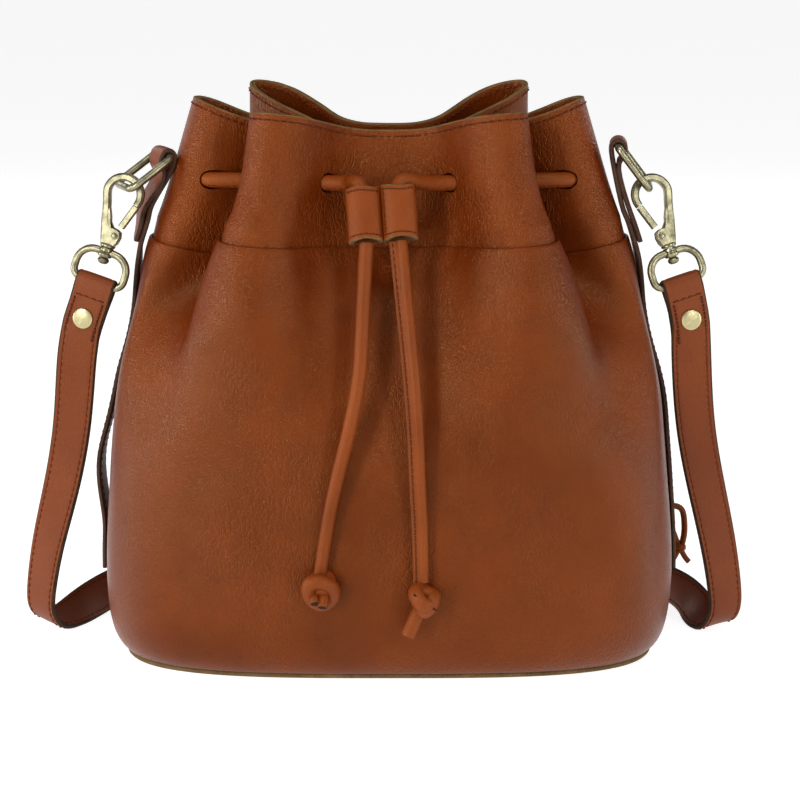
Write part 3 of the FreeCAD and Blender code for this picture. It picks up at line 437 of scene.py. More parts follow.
def bent_wire(points, radii, steps=8):
    """Points along a metal wire bent at its corners."""
    line = [points[0]]
    for k in range(1, len(points) - 1):
        p, q, r = points[k - 1], points[k], points[k + 1]
        back, on = unit(p - q), unit(r - q)
        half = back.angle(on) / 2
        radius = radii[k - 1]
        reach = radius / math.tan(half)
        centre = q + unit(back + on) * (radius / math.sin(half))
        start, end = q + back * reach - centre, q + on * reach - centre
        turn = start.angle(end)
        for j in range(steps + 1):
            a = turn * j / steps
            line.append(centre + (start * math.sin(turn - a) + end * math.sin(a)) / math.sin(turn))
    line.append(points[-1])
    return line


def even_line(line, step):
    """The line resampled to even steps."""
    points = np.array([tuple(p) for p in line])
    lengths = np.concatenate([[0], np.cumsum(np.linalg.norm(np.diff(points, axis=0), axis=1))])
    count = max(2, round(lengths[-1] / step) + 1)
    at = np.linspace(0, lengths[-1], count)
    return [Vector([float(np.interp(a, lengths, points[:, i])) for i in range(3)]) for a in at]


def through(values, per_span):
    """A smooth line through the values, with even speed at each: rows of numbers, several to a span."""
    values = np.array(values, float)
    count = len(values)
    system = np.zeros((count, count))
    right = np.zeros_like(values)
    system[0, 0:2], right[0] = (2, 1), 3 * (values[1] - values[0])
    system[-1, -2:], right[-1] = (1, 2), 3 * (values[-1] - values[-2])
    for k in range(1, count - 1):
        system[k, k - 1:k + 2] = (1, 4, 1)
        right[k] = 3 * (values[k + 1] - values[k - 1])
    slopes = np.linalg.solve(system, right)
    rows = []
    for j in range((count - 1) * per_span + 1):
        k = min(j // per_span, count - 2)
        t = j / per_span - k
        a, b, c, d = values[k], slopes[k], values[k + 1], slopes[k + 1]
        rows.append(a * (2 * t**3 - 3 * t**2 + 1) + b * (t**3 - 2 * t**2 + t)
                    + c * (3 * t**2 - 2 * t**3) + d * (t**3 - t**2))
    return rows


# ---------------------------------------------------------------- stitches
STITCH_LONG, STITCH_PITCH, THREAD_R = 2.5 * MM, 3.7 * MM, 0.36 * MM


def stitch(build, point, along, out, long, radius):
    """One stitch: a short raised length of thread, and near-black rings at its ends as painted shade of the
    needle holes.
    """
    side = along.cross(out)
    loops = []
    for t in (-0.5, -0.42, -0.2, 0.0, 0.2, 0.42, 0.5):
        full = radius * math.sqrt(max(0.04, 1 - (2 * t) ** 4))
        lift = radius * (1.0 - 1.7 * (2 * t) ** 4)
        loops.append(ellipse(point + along * (t * long) + out * lift, side * full, out * full, 6))
    build.tube(loops, 0, 0)
    # Rings in the second material: painted shade where the needle holes are.
    for end in (-1, 1):
        centre = point + along * (end * long * 0.53)
        rim = [ellipse(centre + out * (h * MM), side * r, along * r, 6)
               for r, h in ((radius * 1.5, -0.1), (radius * 1.25, 0.06))]
        build.tube(rim, 1, 1)


def stitch_line(build, line, outs, pitch=STITCH_PITCH, long=STITCH_LONG, radius=THREAD_R):
    """Stitches along a line of points with outward directions."""
    points = np.array([tuple(p) for p in line])
    ways = np.array([tuple(o) for o in outs])
    lengths = np.concatenate([[0], np.cumsum(np.linalg.norm(np.diff(points, axis=0), axis=1))])
    count = int(lengths[-1] / pitch)
    for k in range(count):
        at = (k + 0.5) * lengths[-1] / count
        before, point, after = [Vector([np.interp(at + d, lengths, points[:, i]) for i in range(3)])
                                for d in (-0.3 * pitch, 0, 0.3 * pitch)]
        along = unit(after - before)
        out = Vector([np.interp(at, lengths, ways[:, i]) for i in range(3)])
        out = unit(out - along * out.dot(along))
        wobble = noise.noise(point * 900) * 0.12
        along = unit(along + along.cross(out) * wobble)
        stitch(build, point, along, out, long, radius)


def sewn(looks, threads, name, body, slot, look="thread"):
    """The stitches of a build, as a piece of their own."""
    piece = threads.object(name, [looks[look], looks["hole"]])
    attach(piece, body, slot)
    return piece


# ---------------------------------------------------------------- the skin of the bag
ROUNDNESS = 3.3
SEAM_Z = 216.0
# One row of the skin: height, half width, half depth, share of pleating, pleat scale, dip of the valleys, and
# how far the side valleys lean outwards.
ROWS = [
    (3.8, 137.0, 68.5, 0.0, 1.0, 0.0, 0.0),
    (8.0, 141.5, 72.0, 0.0, 1.0, 0.0, 0.0),
    (20.0, 145.0, 74.5, 0.0, 1.0, 0.0, 0.0),
    (50.0, 145.5, 75.0, 0.0, 1.0, 0.0, 0.0),
    (85.0, 142.5, 74.5, 0.0, 1.0, 0.0, 0.0),
    (120.0, 140.0, 73.0, 0.05, 1.15, 0.0, 62.0),
    (152.0, 138.0, 71.0, 0.22, 1.15, 0.0, 52.0),
    (180.0, 136.0, 69.0, 0.42, 1.15, 5.0, 34.0),
    (203.0, 134.0, 67.0, 0.68, 1.13, 12.0, 16.0),
    (222.0, 131.0, 65.0, 0.92, 1.07, 17.0, 5.0),
    (242.0, 128.0, 62.0, 1.0, 1.0, 13.0, 0.0),
    (263.0, 0.0, 0.0, 1.0, 1.0, 15.0, 0.0),
    (289.0, 0.0, 0.0, 1.0, 1.0, 24.0, 0.0),
]
STRING_ROW, RIM_ROW = 10, 12
# Plan of one quarter of the pleated neck, from the middle of the front (or back) to the side.
NECK = [
    (0, 21), (15, 21), (31, 27), (43, 46), (60, 56), (75, 46), (71, 28),
    (56, 15), (42, 3), (62, 3), (80, 14), (96, 22), (109, 13), (110, 0),
]
RIM = [
    (0, 17), (13, 17), (25, 22), (37, 41), (52, 49), (68, 43), (67, 27),
    (49, 17), (30, 5), (50, 5), (71, 14), (87, 18), (96, 9), (97, 0),
]
BACK_RIM = [
    (0, 17), (13, 17), (25, 21), (36, 37), (53, 47), (71, 47), (74, 33),
    (55, 18), (30, 5), (50, 5), (71, 14), (87, 18), (96, 9), (97, 0),
]
# Shares of each row's dip at the plan's points: below the drawstring, and above it on the front and the back;
# then shares of the side valleys' lean.
LOW_DIP = [0.45, 0.45, 0.4, 0.3, 0.2, 0.1, 0.04, 0.2, 1.0, 1.0, 0.8, 0.5, 0.4, 0.4]
FRONT_DIP = [0.96, 0.96, 0.85, 0.62, 0.5, 0.48, 0.55, 0.65, 0.95, 0.95, 0.75, 0.45, 0.33, 0.33]
BACK_DIP = [0.96, 0.96, 0.86, 0.56, 0.22, 0.12, 0.22, 0.6, 0.95, 0.95, 0.75, 0.45, 0.33, 0.33]
LEAN = [0.0, 0.0, 0.0, 0.1, 0.35, 0.7, 1.0, 1.0, 1.0, 1.0, 0.8, 0.35, 0.0, 0.0]


def oblong(a, b, angle):
    s, c = math.sin(angle), math.cos(angle)
    return a * abs(s) ** (2 / ROUNDNESS), b * abs(c) ** (2 / ROUNDNESS)


def shares_of(points):
    steps = np.linalg.norm(np.diff(np.array(points, float), axis=0), axis=1)
    along = np.concatenate([[0], np.cumsum(steps)])
    return along / along[-1]


def oblong_points(a, b, shares, steps=600):
    """The oblong's quarter at the given shares of its length."""
    line = np.array([oblong(a, b, math.pi / 2 * k / steps) for k in range(steps + 1)])
    along = shares_of(line)
    return np.stack([np.interp(shares, along, line[:, 0]), np.interp(shares, along, line[:, 1])], 1)


def control_net(rim, rim_dip):
    """One half's control points, drawn at the front: [round from the left, upward, xyz], in metres."""
    shares = shares_of(NECK)
    net = []
    for index, (z, a, b, pleat, scale, dip, lean) in enumerate(ROWS):
        neck = np.array(NECK, float) * scale
        neck[:, 0] += lean * np.array(LEAN)
        if index > STRING_ROW:
            f = (z - ROWS[STRING_ROW][0]) / (ROWS[RIM_ROW][0] - ROWS[STRING_ROW][0])
            neck = neck + f * (np.array(rim, float) - neck)
        body = oblong_points(a, b, shares) if pleat < 1 else neck
        plan = body + pleat * (neck - body)
        dips = LOW_DIP if index < STRING_ROW else rim_dip
        quarter = [(x, -y, z - dip * d) for (x, y), d in zip(plan, dips)]
        net.append([(-x, y, h) for x, y, h in reversed(quarter)] + quarter[1:])
    return np.array(net, float).transpose(1, 0, 2) * MM


FRONT_NET, BACK_NET = control_net(RIM, FRONT_DIP), control_net(BACK_RIM, BACK_DIP)


def spline_weights(count, shares):
    """Weights of each of count control points of a clamped cubic spline at the shares of its length."""
    degree = 3
    spans = count - degree
    knots = np.concatenate([np.zeros(degree), np.linspace(0, 1, spans + 1), np.ones(degree)])
    t = np.clip(np.asarray(shares, float), 0, 1 - 1e-9)[:, None]
    weights = ((knots[:-1] <= t) & (t < knots[1:])).astype(float)
    for d in range(1, degree + 1):
        rise = knots[d:-1] - knots[:-d - 1]
        fall = knots[d + 1:] - knots[1:-d]
        up = np.where(rise > 0, (t - knots[:-d - 1]) / np.where(rise > 0, rise, 1), 0)
        down = np.where(fall > 0, (knots[d + 1:] - t) / np.where(fall > 0, fall, 1), 0)
        weights = up * weights[:, :-1] + down * weights[:, 1:]
    return weights


def smooth_skin(turns, heights):
    """Points of the skin at turns round (0 left, 0.5 front, 1 right, 1.5 back) and upward shares."""
    turns = np.asarray(turns, float)
    back = turns > 1
    across = spline_weights(FRONT_NET.shape[0], np.where(back, 2 - turns, turns))
    upward = spline_weights(FRONT_NET.shape[1], heights)
    points = np.einsum("ai,ijk,bj->abk", across, FRONT_NET, upward)
    points[back] = np.einsum("ai,ijk,bj->abk", across[back], BACK_NET, upward)
    points[back, :, 1] *= -1
    return points


SEAM_TURN = 6.5 / 24


def height_share(z, turn=SEAM_TURN):
    """The upward share at which the smooth skin reaches a height, at a turn round."""
    low, high = 0.0, 1.0
    for _ in range(30):
        mid = (low + high) / 2
        low, high = (mid, high) if smooth_skin([turn], [mid])[0, 0, 2] < z else (low, mid)
    return (low + high) / 2


SEAM = height_share(SEAM_Z * MM)


def grid_normals(points, wraps):
    """Outward unit normals of a grid of points [round, up]."""
    if wraps:
        round_way = np.roll(points, -1, 0) - np.roll(points, 1, 0)
    else:
        round_way = np.gradient(points, axis=0)
    normals = np.cross(round_way, np.gradient(points, axis=1))
    return normals / np.linalg.norm(normals, axis=2, keepdims=True)


# Soft folds of the front and back: from (x, z) to (x, z), half width and height, in millimetres.
FOLDS = [
    (-70, 222, -64, 160, 14, 2.2), (62, 222, 68, 160, 14, 1.9), (0, 214, -4, 140, 24, -1.8),
    (-72, 186, -120, 150, 13, 2.2), (74, 186, 116, 152, 13, 2.0), (38, 208, 52, 150, 11, 1.3),
    (-36, 206, -30, 150, 10, -1.3), (28, 176, 96, 128, 13, -1.2), (40, 152, 92, 112, 14, 1.3),
    (-112, 128, -60, 96, 16, -1.2), (-104, 66, -20, 50, 22, 1.3), (30, 92, 108, 58, 22, -1.4),
    (-124, 104, -96, 40, 16, -1.3), (112, 108, 126, 40, 14, 1.4), (-46, 128, 8, 92, 26, -0.9),
    (60, 40, 118, 22, 14, 1.2), (-110, 150, -124, 118, 12, -1.6), (104, 148, 126, 122, 12, -1.8),
]


# In metres: where the leather's gathering starts, over what height it grows, and how far out the sides start.
GATHER_FROM, GATHER_LONG, SIDE_FROM = 0.165, 0.05, 0.09
# In millimetres: how far the side bands pull the leather in, from what height and over what height.
TUCK, TUCK_FROM, TUCK_LONG = 5.5, 128, 92


def fold_height(points):
    """How far the soft folds stand out at each of the points."""
    x, z = points[..., 0] / MM, points[..., 2] / MM
    total = np.zeros(x.shape)
    for x0, z0, x1, z1, wide, high in FOLDS:
        dx, dz = x1 - x0, z1 - z0
        t = ((x - x0) * dx + (z - z0) * dz) / (dx * dx + dz * dz)
        near = np.clip(t, 0, 1)
        away = np.hypot(x - x0 - near * dx, z - z0 - near * dz)
        total += high * np.exp(-(away / wide) ** 2) * (0.55 + 0.45 * np.sin(np.pi * np.clip(t, 0.02, 0.98)))
    return total * MM


def drape(point, up_share):
    """How far the leather stands out of the smooth skin: broad sags, and wrinkles where it is gathered."""
    x, y, z = point
    broad = noise.noise(Vector((x * 13, y * 13 + 3.1, z * 10))) * 1.2
    middle = noise.noise(Vector((x * 36 + 9, y * 36, z * 20))) * 0.5
    gathered = max(0.0, min(1.0, (z - GATHER_FROM) / GATHER_LONG))
    wrinkle = noise.noise(Vector((x * 150, y * 150, z * 60 + 5))) * 0.30 * gathered
    ease = min(1.0, up_share * 12)
    calm = 1 - 0.55 * gathered
    return (broad * ease * calm + middle * ease + wrinkle) * MM


def side_tuck(z):
    """How far the side bands pull the leather in, at a height in millimetres."""
    return TUCK * np.sin(np.pi * np.clip((z - TUCK_FROM) / TUCK_LONG, 0, 1)) ** 2


def skin_grid(turns, heights, wraps=False):
    """Draped points and outward normals at turns and heights. The leather is smooth under the side bands."""
    points = smooth_skin(turns, heights)
    normals = grid_normals(points, wraps)
    folds = fold_height(points) * np.clip(np.abs(normals[..., 1]) * 1.4 - 0.3, 0, 1)
    at_side = np.abs(points[..., 0]) > SIDE_FROM
    tuck = side_tuck(points[..., 2] / MM) * np.exp(-((points[..., 1] / MM / 21) ** 2)) * at_side
    points[..., 0] -= np.sign(points[..., 0]) * tuck * MM
    beside = np.clip((np.abs(points[..., 1]) / MM - 9) / 14, 0, 1) + (np.abs(points[..., 0]) < SIDE_FROM)
    for i in range(points.shape[0]):
        for j in range(points.shape[1]):
            out = (drape(points[i, j], heights[j]) + folds[i, j]) * min(1.0, float(beside[i, j]))
            points[i, j] += normals[i, j] * out
    return points, normals


def shell_loops(points, normals, outer, inner, edge_steps):
    """For each turn, a loop round the leather's section. outer and inner are its depths at each height."""
    loops = []
    count = points.shape[1]
    upward = np.gradient(points, axis=1)
    upward /= np.linalg.norm(upward, axis=2, keepdims=True)
    for i in range(points.shape[0]):
        face = [points[i, j] - normals[i, j] * outer[j] for j in range(count)]
        back = [points[i, j] - normals[i, j] * inner[j] for j in range(count)]
        loop = list(face)
        for end, j in ((1, count - 1), (-1, 0)):
            half = (inner[j] - outer[j]) / 2
            middle = points[i, j] - normals[i, j] * (outer[j] + half)
            for k in range(1, edge_steps + 1):
                a = math.pi * k / (edge_steps + 1)
                turn = normals[i, j] * math.cos(a) * end + upward[i, j] * math.sin(a) * end
                loop.append(middle + turn * half)
            if end > 0:
                loop.extend(reversed(back))
        loops.append([Vector(p) for p in loop])
    return loops


def shell_slots(count, edge_steps, outer, top, inner, bottom):
    """Material numbers round a shell's section, in the order of shell_loops."""
    face, edge = count - 1, edge_steps + 1
    return [outer] * face + [top] * edge + [inner] * face + [bottom] * edge


def shell_piece(name, turns, heights, outer, inner, materials, slots, edge_steps=3):
    """A piece of leather or cloth between two depths of the skin."""
    points, normals = skin_grid(turns, heights)
    build = Build()
    build.tube(shell_loops(points, normals, outer, inner, edge_steps),
               shell_slots(len(heights), edge_steps, *slots), slots[1])
    return build.object(name, materials, SHARP)


# Steps round each half of the skin, and the angle in degrees from which a leather edge is drawn sharp.
ROUND_STEPS, SHARP = 230, 50
FRONT_TURNS = np.linspace(0, 1, ROUND_STEPS + 1)
BACK_TURNS = np.linspace(1, 2, ROUND_STEPS + 1)


def make_lower_panels(looks):
    """The front and back lower panels, with closer steps at the bottom edge, and the zip's slot in the back."""
    heights = np.concatenate([np.linspace(0, 0.02, 4)[:-1], np.linspace(0.02, SEAM, 100)])
    outer, inner = [np.full(len(heights), depth * MM) for depth in (-0.2, 1.4)]
    for name, turns in (("front_panel", FRONT_TURNS), ("back_panel", BACK_TURNS)):
        piece = shell_piece("leather_" + name, turns, heights, outer, inner,
                            [looks["bag"], looks["suede"], looks["edge"]], (0, 0, 1, 0))
        attach(piece, "root", "bag_leather", name)
        if name == "back_panel":
            cut_zip_slot(piece)


CORD_R, HOLE_R = 3.8 * MM, 4.9 * MM
STRING_Z = 242.0
# Plan of the drawstring's line from its opening beside the front's middle to the bag's side, by its holes.
STRING_FRONT = [(26.5, -29.6), (33.5, -27.4), (44, -24), (57, -19.8), (73, -18.4), (86, -17.4), (90.5, -15)]
STRING_SIDE = (91.5, 0)


def string_line():
    """The drawstring's line, from its end in the toggle round the mouth and back into the toggle."""
    across, _, down, top = toggle_frame()
    ends = []
    for side in SIDES.values():
        channel = top + across * (side * CHANNEL_APART / 2)
        ends.append([channel + down * (TOGGLE_LONG * share) for share in (0.85, 0.4, 0.12)] + [
            channel - down * 1.2 * MM + across * (side * 0.6 * MM),
            channel - down * 3.4 * MM + mm(side * 3.6, 1.2, 0),
            mm(side * 18.5, -33.4, STRING_Z + 0.4)])
    half = STRING_FRONT + [STRING_SIDE] + [(x, -y) for x, y in STRING_FRONT[::-1]]
    mouth = [mm(-x, y, STRING_Z) for x, y in half] + [mm(x, y, STRING_Z) for x, y in half[::-1]]
    return spline_line(ends[0] + mouth + ends[1][::-1])


def string_hole_cutter():
    """A solid along the drawstring, a little thicker than it, that cuts its holes."""
    build = Build()
    build.sweep(even_line(string_line(), 3 * MM), None, circle(HOLE_R, 18))
    return build.object("hole_cutter", [])


def cut(piece, cutter):
    """Takes the cutter's solid out of the piece."""
    modifier = piece.modifiers.new("cut", "BOOLEAN")
    modifier.operation = "DIFFERENCE"
    modifier.solver = "EXACT"
    modifier.object = cutter
    modifier.material_mode = "INDEX"
    graph = bpy.context.evaluated_depsgraph_get()
    mesh = bpy.data.meshes.new_from_object(piece.evaluated_get(graph))
    piece.modifiers.clear()
    piece.data = mesh
    mesh.set_sharp_from_angle(angle=math.radians(SHARP))


# Upward shares: how far the yoke reaches behind the seam, and over what stretch it comes out of the panel. The
# facing leaves out the yoke's lowest rows.
YOKE_LAP, YOKE_RISE = 0.016, 0.05
FACING_FROM = 12


def make_yokes(looks):
    """The pleated yokes and the facings inside them, from just below the seam up to the mouth."""
    heights = np.linspace(SEAM - YOKE_LAP, 1.0, 76)
    tuck = np.clip((SEAM + YOKE_RISE - heights) / YOKE_RISE, 0, 1)
    outer = (0.1 + 1.5 * tuck**0.7) * MM
    face_out = (outer + 1.6 * MM)[FACING_FROM:]
    cutter = string_hole_cutter()
    materials = [looks["yoke"], looks["edge"], looks["suede"]]
    for name, turns in (("front", FRONT_TURNS), ("back", BACK_TURNS)):
        yoke = shell_piece(f"leather_{name}_yoke", turns, heights, outer, outer + 1.5 * MM,
                           materials, (0, 1, 2, 1))
        facing = shell_piece(f"leather_{name}_facing", turns, heights[FACING_FROM:],
                             face_out, face_out + 1.3 * MM, materials, (2, 1, 0, 1))
        for piece, node in ((yoke, f"{name}_yoke"), (facing, f"{name}_facing")):
            cut(piece, cutter)
            attach(piece, "root", "bag_leather", node)
    bpy.data.objects.remove(cutter)


def make_rim_stitches(looks):
    """The two rows of thread along the mouth: outside, and inside on the facing."""
    points, normals = skin_grid(np.linspace(0, 2, 900), np.array([0.97, 1.0]))
    down = points[:, 0] - points[:, 1]
    down /= np.linalg.norm(down, axis=1, keepdims=True)
    threads = Build()
    for depth, face in ((0.12 * MM, 1), (3.0 * MM, -1)):
        line = points[:, 1] + down * 2.6 * MM - normals[:, 1] * depth
        stitch_line(threads, [Vector(p) for p in line], [Vector(n * face) for n in normals[:, 1]])
    sewn(looks, threads, "rim_stitches", "root", "bag_leather")


# ---------------------------------------------------------------- toggle and drawstring
CHANNEL_APART = 16.8 * MM
TOGGLE_LONG = 26.0 * MM
CHANNEL_W, CHANNEL_D, TOGGLE_WALL = 6.0 * MM, 4.1 * MM, 1.8 * MM


def toggle_frame():
    """The toggle's across, out and down directions, and the middle of its top."""
    down = Vector(JOINTS["toggle_slide"]["axis"])
    across = unit(RIGHT - down * down.x)
    low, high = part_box("toggle")
    top = (low + high) / 2 - down * (TOGGLE_LONG / 2 + 1.8 * MM)
    return across, down.cross(across), down, top


def sleeve_point(side, grow, angle, at):
    """A point of one sleeve of the toggle. grow is 0 in the channel and 1 outside, at is 0 at the top and 1
    at the bottom."""
    across, out, down, top = toggle_frame()
    c, s = math.cos(angle), math.sin(angle)
    wide = CHANNEL_W + grow * (CHANNEL_APART / 2 - CHANNEL_W + 0.12 * MM)
    deep = CHANNEL_D + grow * TOGGLE_WALL
    power = 1.0 - 0.18 * grow
    x = wide * math.copysign(abs(c) ** power, c)
    y = deep * math.copysign(abs(s) ** power, s)
    wave = 0.0
    if at > 0.5:
        wave = (1.5 * MM * abs(x / wide) ** 1.7 - 0.7 * MM) * (at - 0.5) * 2
    elif at < 0.5:
        wave = 0.5 * MM * math.sin(x / MM * 0.35 + side) * (0.5 - at) * 2
    belly = 1 + 0.04 * math.sin(math.pi * at)
    middle = top + across * (side * CHANNEL_APART / 2)
    return middle + across * x + out * (y * belly) + down * (at * TOGGLE_LONG + wave)


def half_toggle(build, side):
    """One sleeve of the toggle, a rolled piece of leather with raw ends."""
    steps, lip = 48, 0.02
    angles = [math.tau * k / steps for k in range(steps)]
    stations = [(0.75, 0.0), (0.95, 0.008), (1.0, lip)]
    stations += [(1.0, lip + (1 - 2 * lip) * k / 14) for k in range(1, 14)]
    stations += [(1.0, 1 - lip), (0.95, 0.992), (0.75, 1.0), (0.3, 1.0), (0.06, 0.995)]
    stations += [(0.0, 0.98 - 0.96 * k / 10) for k in range(11)] + [(0.06, 0.005), (0.3, 0.0)]
    start = len(build.points)
    for grow, at in stations:
        build.points.extend(sleeve_point(side, grow, a, at) for a in angles)
    nexts = stations[1:] + stations[:1]
    raw = [not 0.015 < (here[1] + ahead[1]) / 2 < 0.985 for here, ahead in zip(stations, nexts)]
    for k, face in enumerate(lattice_faces(len(stations), steps, True, True, start)):
        build.faces.append(face)
        build.slots.append(1 if raw[k // steps] else 0)


def make_toggle(looks):
    """The toggle's two sleeves, with stitches across their fronts near each end and one row down beside the
    middle."""
    build, threads = Build(), Build()
    across, out, _, _ = toggle_frame()
    small = (3.2 * MM, 2.0 * MM, 0.3 * MM)
    for side in SIDES.values():
        half_toggle(build, side)
    piece = build.object("leather_toggle", [looks["cord"], looks["edge"]], 45)
    attach(piece, "toggle", "cord_leather", "toggle")
    angles = [math.radians(32 + 116 * k / 20) for k in range(21)]
    for at in (0.085, 0.915):
        for side in SIDES.values():
            line = [sleeve_point(side, 1.0, a, at) for a in angles]
            stitch_line(threads, line, [across * math.cos(a) * 0.5 + out for a in angles], *small)
    line = [sleeve_point(1, 1.0, math.radians(141), 0.12 + 0.76 * k / 10) for k in range(11)]
    stitch_line(threads, line, [out - across * 0.25] * 11, *small)
    sewn(looks, threads, "toggle_stitches", "toggle", "cord_leather")


def turned(shape, angle):
    c, s = math.cos(angle), math.sin(angle)
    return [(x * c - y * s, x * s + y * c) for x, y in shape]


def flange_turn(share):
    """Where the right tail's flange lies round it, and how much of its full size the section has."""
    return math.pi - 0.25 * share, 1 - 0.12 * share


def flanged_section(share):
    """Section of a leather strip rolled round a core and sewn along its edges, as a flange beside it."""
    turn, grow = flange_turn(share)
    shape = [(2.95 * math.cos(math.radians(a)), 2.95 * math.sin(math.radians(a))) for a in range(30, 331, 15)]
    shape += [(3.3, -1.0), (4.4, -0.92), (5.4, -0.9), (5.8, -0.7), (5.85, -0.12), (5.55, 0.0)]
    shape += [(5.85, 0.12), (5.8, 0.7), (5.4, 0.9), (4.4, 0.92), (3.3, 1.0)]
    return turned([(x * MM * grow, y * MM * grow) for x, y in shape], turn)


FLANGE_SLOTS = [0] * 23 + [1] * 5 + [0] * 4


def seam_turn(share):
    """Where the left tail's seam lies round it."""
    return math.radians(-20 - 80 * min(1.0, share * 1.6))


def grooved_section(share):
    """Section of a rolled leather cord whose seam turns to the front as it goes down."""
    radius = (3.55 - 0.45 * share) * MM
    seam = seam_turn(share)
    shape = []
    for k in range(32):
        a = math.tau * k / 32
        away = math.atan2(math.sin(a - seam), math.cos(a - seam))
        groove = 0.16 * math.exp(-(away / 0.16) ** 2) - 0.03 * math.exp(-((abs(away) - 0.42) / 0.2) ** 2)
        shape.append((radius * (1 - groove) * math.cos(a), radius * (1 - groove) * math.sin(a)))
    return shape


def spline_line(points):
    """The smooth line of a cord: a NURBS spline with its route's points as control points."""
    data = bpy.data.curves.new("route", "CURVE")
    data.dimensions = "3D"
    spline = data.splines.new("NURBS")
    spline.points.add(len(points) - 1)
    for place, point in zip(spline.points, points):
        place.co = (*point, 1)
    spline.order_u = 3
    spline.use_endpoint_u = True
    spline.resolution_u = 24
    holder = bpy.data.objects.new("route", data)
    mesh = bpy.data.meshes.new_from_object(holder)
    line = [v.co.copy() for v in mesh.vertices]
    bpy.data.objects.remove(holder)
    bpy.data.meshes.remove(mesh)
    bpy.data.curves.remove(data)
    return line


TAILS = {
    "left": [(-12.2, -63.0, 184.0), (-13.2, -73.0, 156.0), (-18.5, -77.6, 130.0),
             (-25.2, -78.2, 104.0), (-30.0, -78.4, 80.0), (-33.2, -78.4, 57.5)],
    "right": [(9.6, -63.5, 184.0), (12.4, -73.2, 156.0), (14.4, -77.6, 130.0),
              (15.2, -78.2, 104.0), (16.6, -78.4, 80.0), (16.9, -78.4, 54.5)],
}


def ring_wrap(build, centre, normal, radius, thick, flat=0.9, tall=1.0, sides=20, steps=56):
    """One turn of cord closed on itself, tall times as high as it is wide."""
    normal = unit(normal)
    first = unit(normal.cross(Vector((0, 1, 0.2))))
    second = normal.cross(first)
    loops = []
    for k in range(steps):
        a = math.tau * k / steps
        outward = first * math.cos(a) + second * math.sin(a)
        swell = 1 + 0.05 * math.sin(3 * a + centre.x * 900)
        middle = centre + (first * math.cos(a) + second * (tall * math.sin(a))) * (radius * swell)
        loops.append(ellipse(middle, outward * (thick * flat), normal * thick, sides))
    build.tube(loops, 0, 0, True)


def cord_end(build, points, radius):
    """A short rolled end of cord with its raw cut face, slightly hollow; the discs that close the hollow are
    near-black painted shade.
    """
    line = [Vector(r) for r in through([tuple(p) for p in points], 8)]
    side, out = build.sweep(line, RIGHT, circle(radius, 20), 0, 1)[-1]
    along = unit(line[-1] - line[-2])
    face = [[line[-1] + along * (sink * MM) + side * a + out * b for a, b in circle(radius * scale, 20)]
            for scale, sink in ((0.86, 0.05), (0.3, -0.48))]
    # The hollow's lids take the near-black painted shade.
    build.tube(face, 1, 2)


# Each knot's turns (middle, normal, radius, thickness, flatness, tallness) and cut ends (route, radius). The
# left one shows its cut ends inside its turn, the right one's hangs lower.
KNOT_TURNS = {
    "left": [((0.4, -0.8, -1.9), (0.10, -0.90, -0.42), 5.6, 4.0, 0.95, 1.35),
             ((0.6, 1.8, 2.0), (-0.25, -0.55, 0.75), 4.2, 3.6, 0.9, 1.0)],
    "right": [((0.2, -1.0, -1.6), (0.60, -0.30, 0.74), 5.2, 4.1, 0.75, 1.0),
              ((1.4, 0.2, -4.6), (-0.72, -0.26, 0.64), 4.9, 4.0, 0.8, 1.0),
              ((1.0, 0.2, -3.0), (0.0, -1.0, 0.1), 3.4, 4.2, 0.9, 1.0)],
}
KNOT_ENDS = {
    "left": [([(-2.6, 2.0, 0), (-2.7, -2.4, -2.8), (-2.2, -6.0, -6.0)], 2.3),
             ([(1.6, 2.0, 0), (1.9, -2.8, -3.6), (1.5, -6.4, -7.8)], 2.6)],
    "right": [([(1.5, 0.5, -3), (-2.4, -0.9, -9.0), (-7.4, -0.8, -20.5)], 3.6)],
}


def knot_dots(looks, middle):
    """The needle holes across the right knot, drawn as small stitches wholly in the near-black painted hole
    shade.
    """
    threads = Build()
    line = [middle + mm(-5.4, -8.2, 2.6) + mm(12.4, 0, -9.2) * (k / 8) - AHEAD * 1.9 * MM * (k / 4 - 1) ** 2
            for k in range(9)]
    stitch_line(threads, line, [AHEAD] * 9, 3.6 * MM, 1.3 * MM, 0.34 * MM)
    sewn(looks, threads, "knot_stitches", "root", "cord_leather", "hole")


def make_knot(looks, name, end):
    """The knot at a tail's end."""
    build = Build()
    middle = end + mm(0, -2.2, -5.5)
    for place, normal, radius, thick, flat, tall in KNOT_TURNS[name]:
        ring_wrap(build, middle + mm(*place), normal, radius * MM, thick * MM, flat, tall)
    for route, radius in KNOT_ENDS[name]:
        cord_end(build, [middle + mm(*p) for p in route], radius * MM)
    if name == "right":
        knot_dots(looks, middle)
    ball = build.object("drawstring_knot_" + name, [looks["cord"], looks["edge"], looks["hole"]], SHARP)
    attach(ball, "root", "cord_leather", "knot_" + name)
    return ball


def groove_stitches(threads, line, frames, shares):
    """Stitches beside the seam of the left tail's lower half."""
    lower = len(line) // 2
    turns = [seam_turn(share) - 0.5 for share in shares]
    faces = [a * math.cos(t) + b * math.sin(t) for (a, b), t in zip(frames, turns)]
    row = [p + face * grooved_section(share)[0][0] for p, face, share in zip(line, faces, shares)]
    stitch_line(threads, row[lower:], faces[lower:], 3.4 * MM, 2.0 * MM, 0.24 * MM)


def flange_stitches(threads, line, frames, shares):
    """Stitches along the front of the right tail's flange."""
    row, faces = [], []
    for p, (a, b), share in zip(line, frames, shares):
        turn, grow = flange_turn(share)
        way = a * math.cos(turn) + b * math.sin(turn)
        face = -a * math.sin(turn) + b * math.cos(turn)
        face = face if face.y < 0 else -face
        row.append(p + way * (4.3 * MM * grow) + face * (0.86 * MM))
        faces.append(face)
    stitch_line(threads, row, faces, 3.4 * MM, 2.1 * MM, 0.28 * MM)


TAIL_KINDS = {
    "left": (grooved_section, 0, groove_stitches),
    "right": (flanged_section, FLANGE_SLOTS, flange_stitches),
}


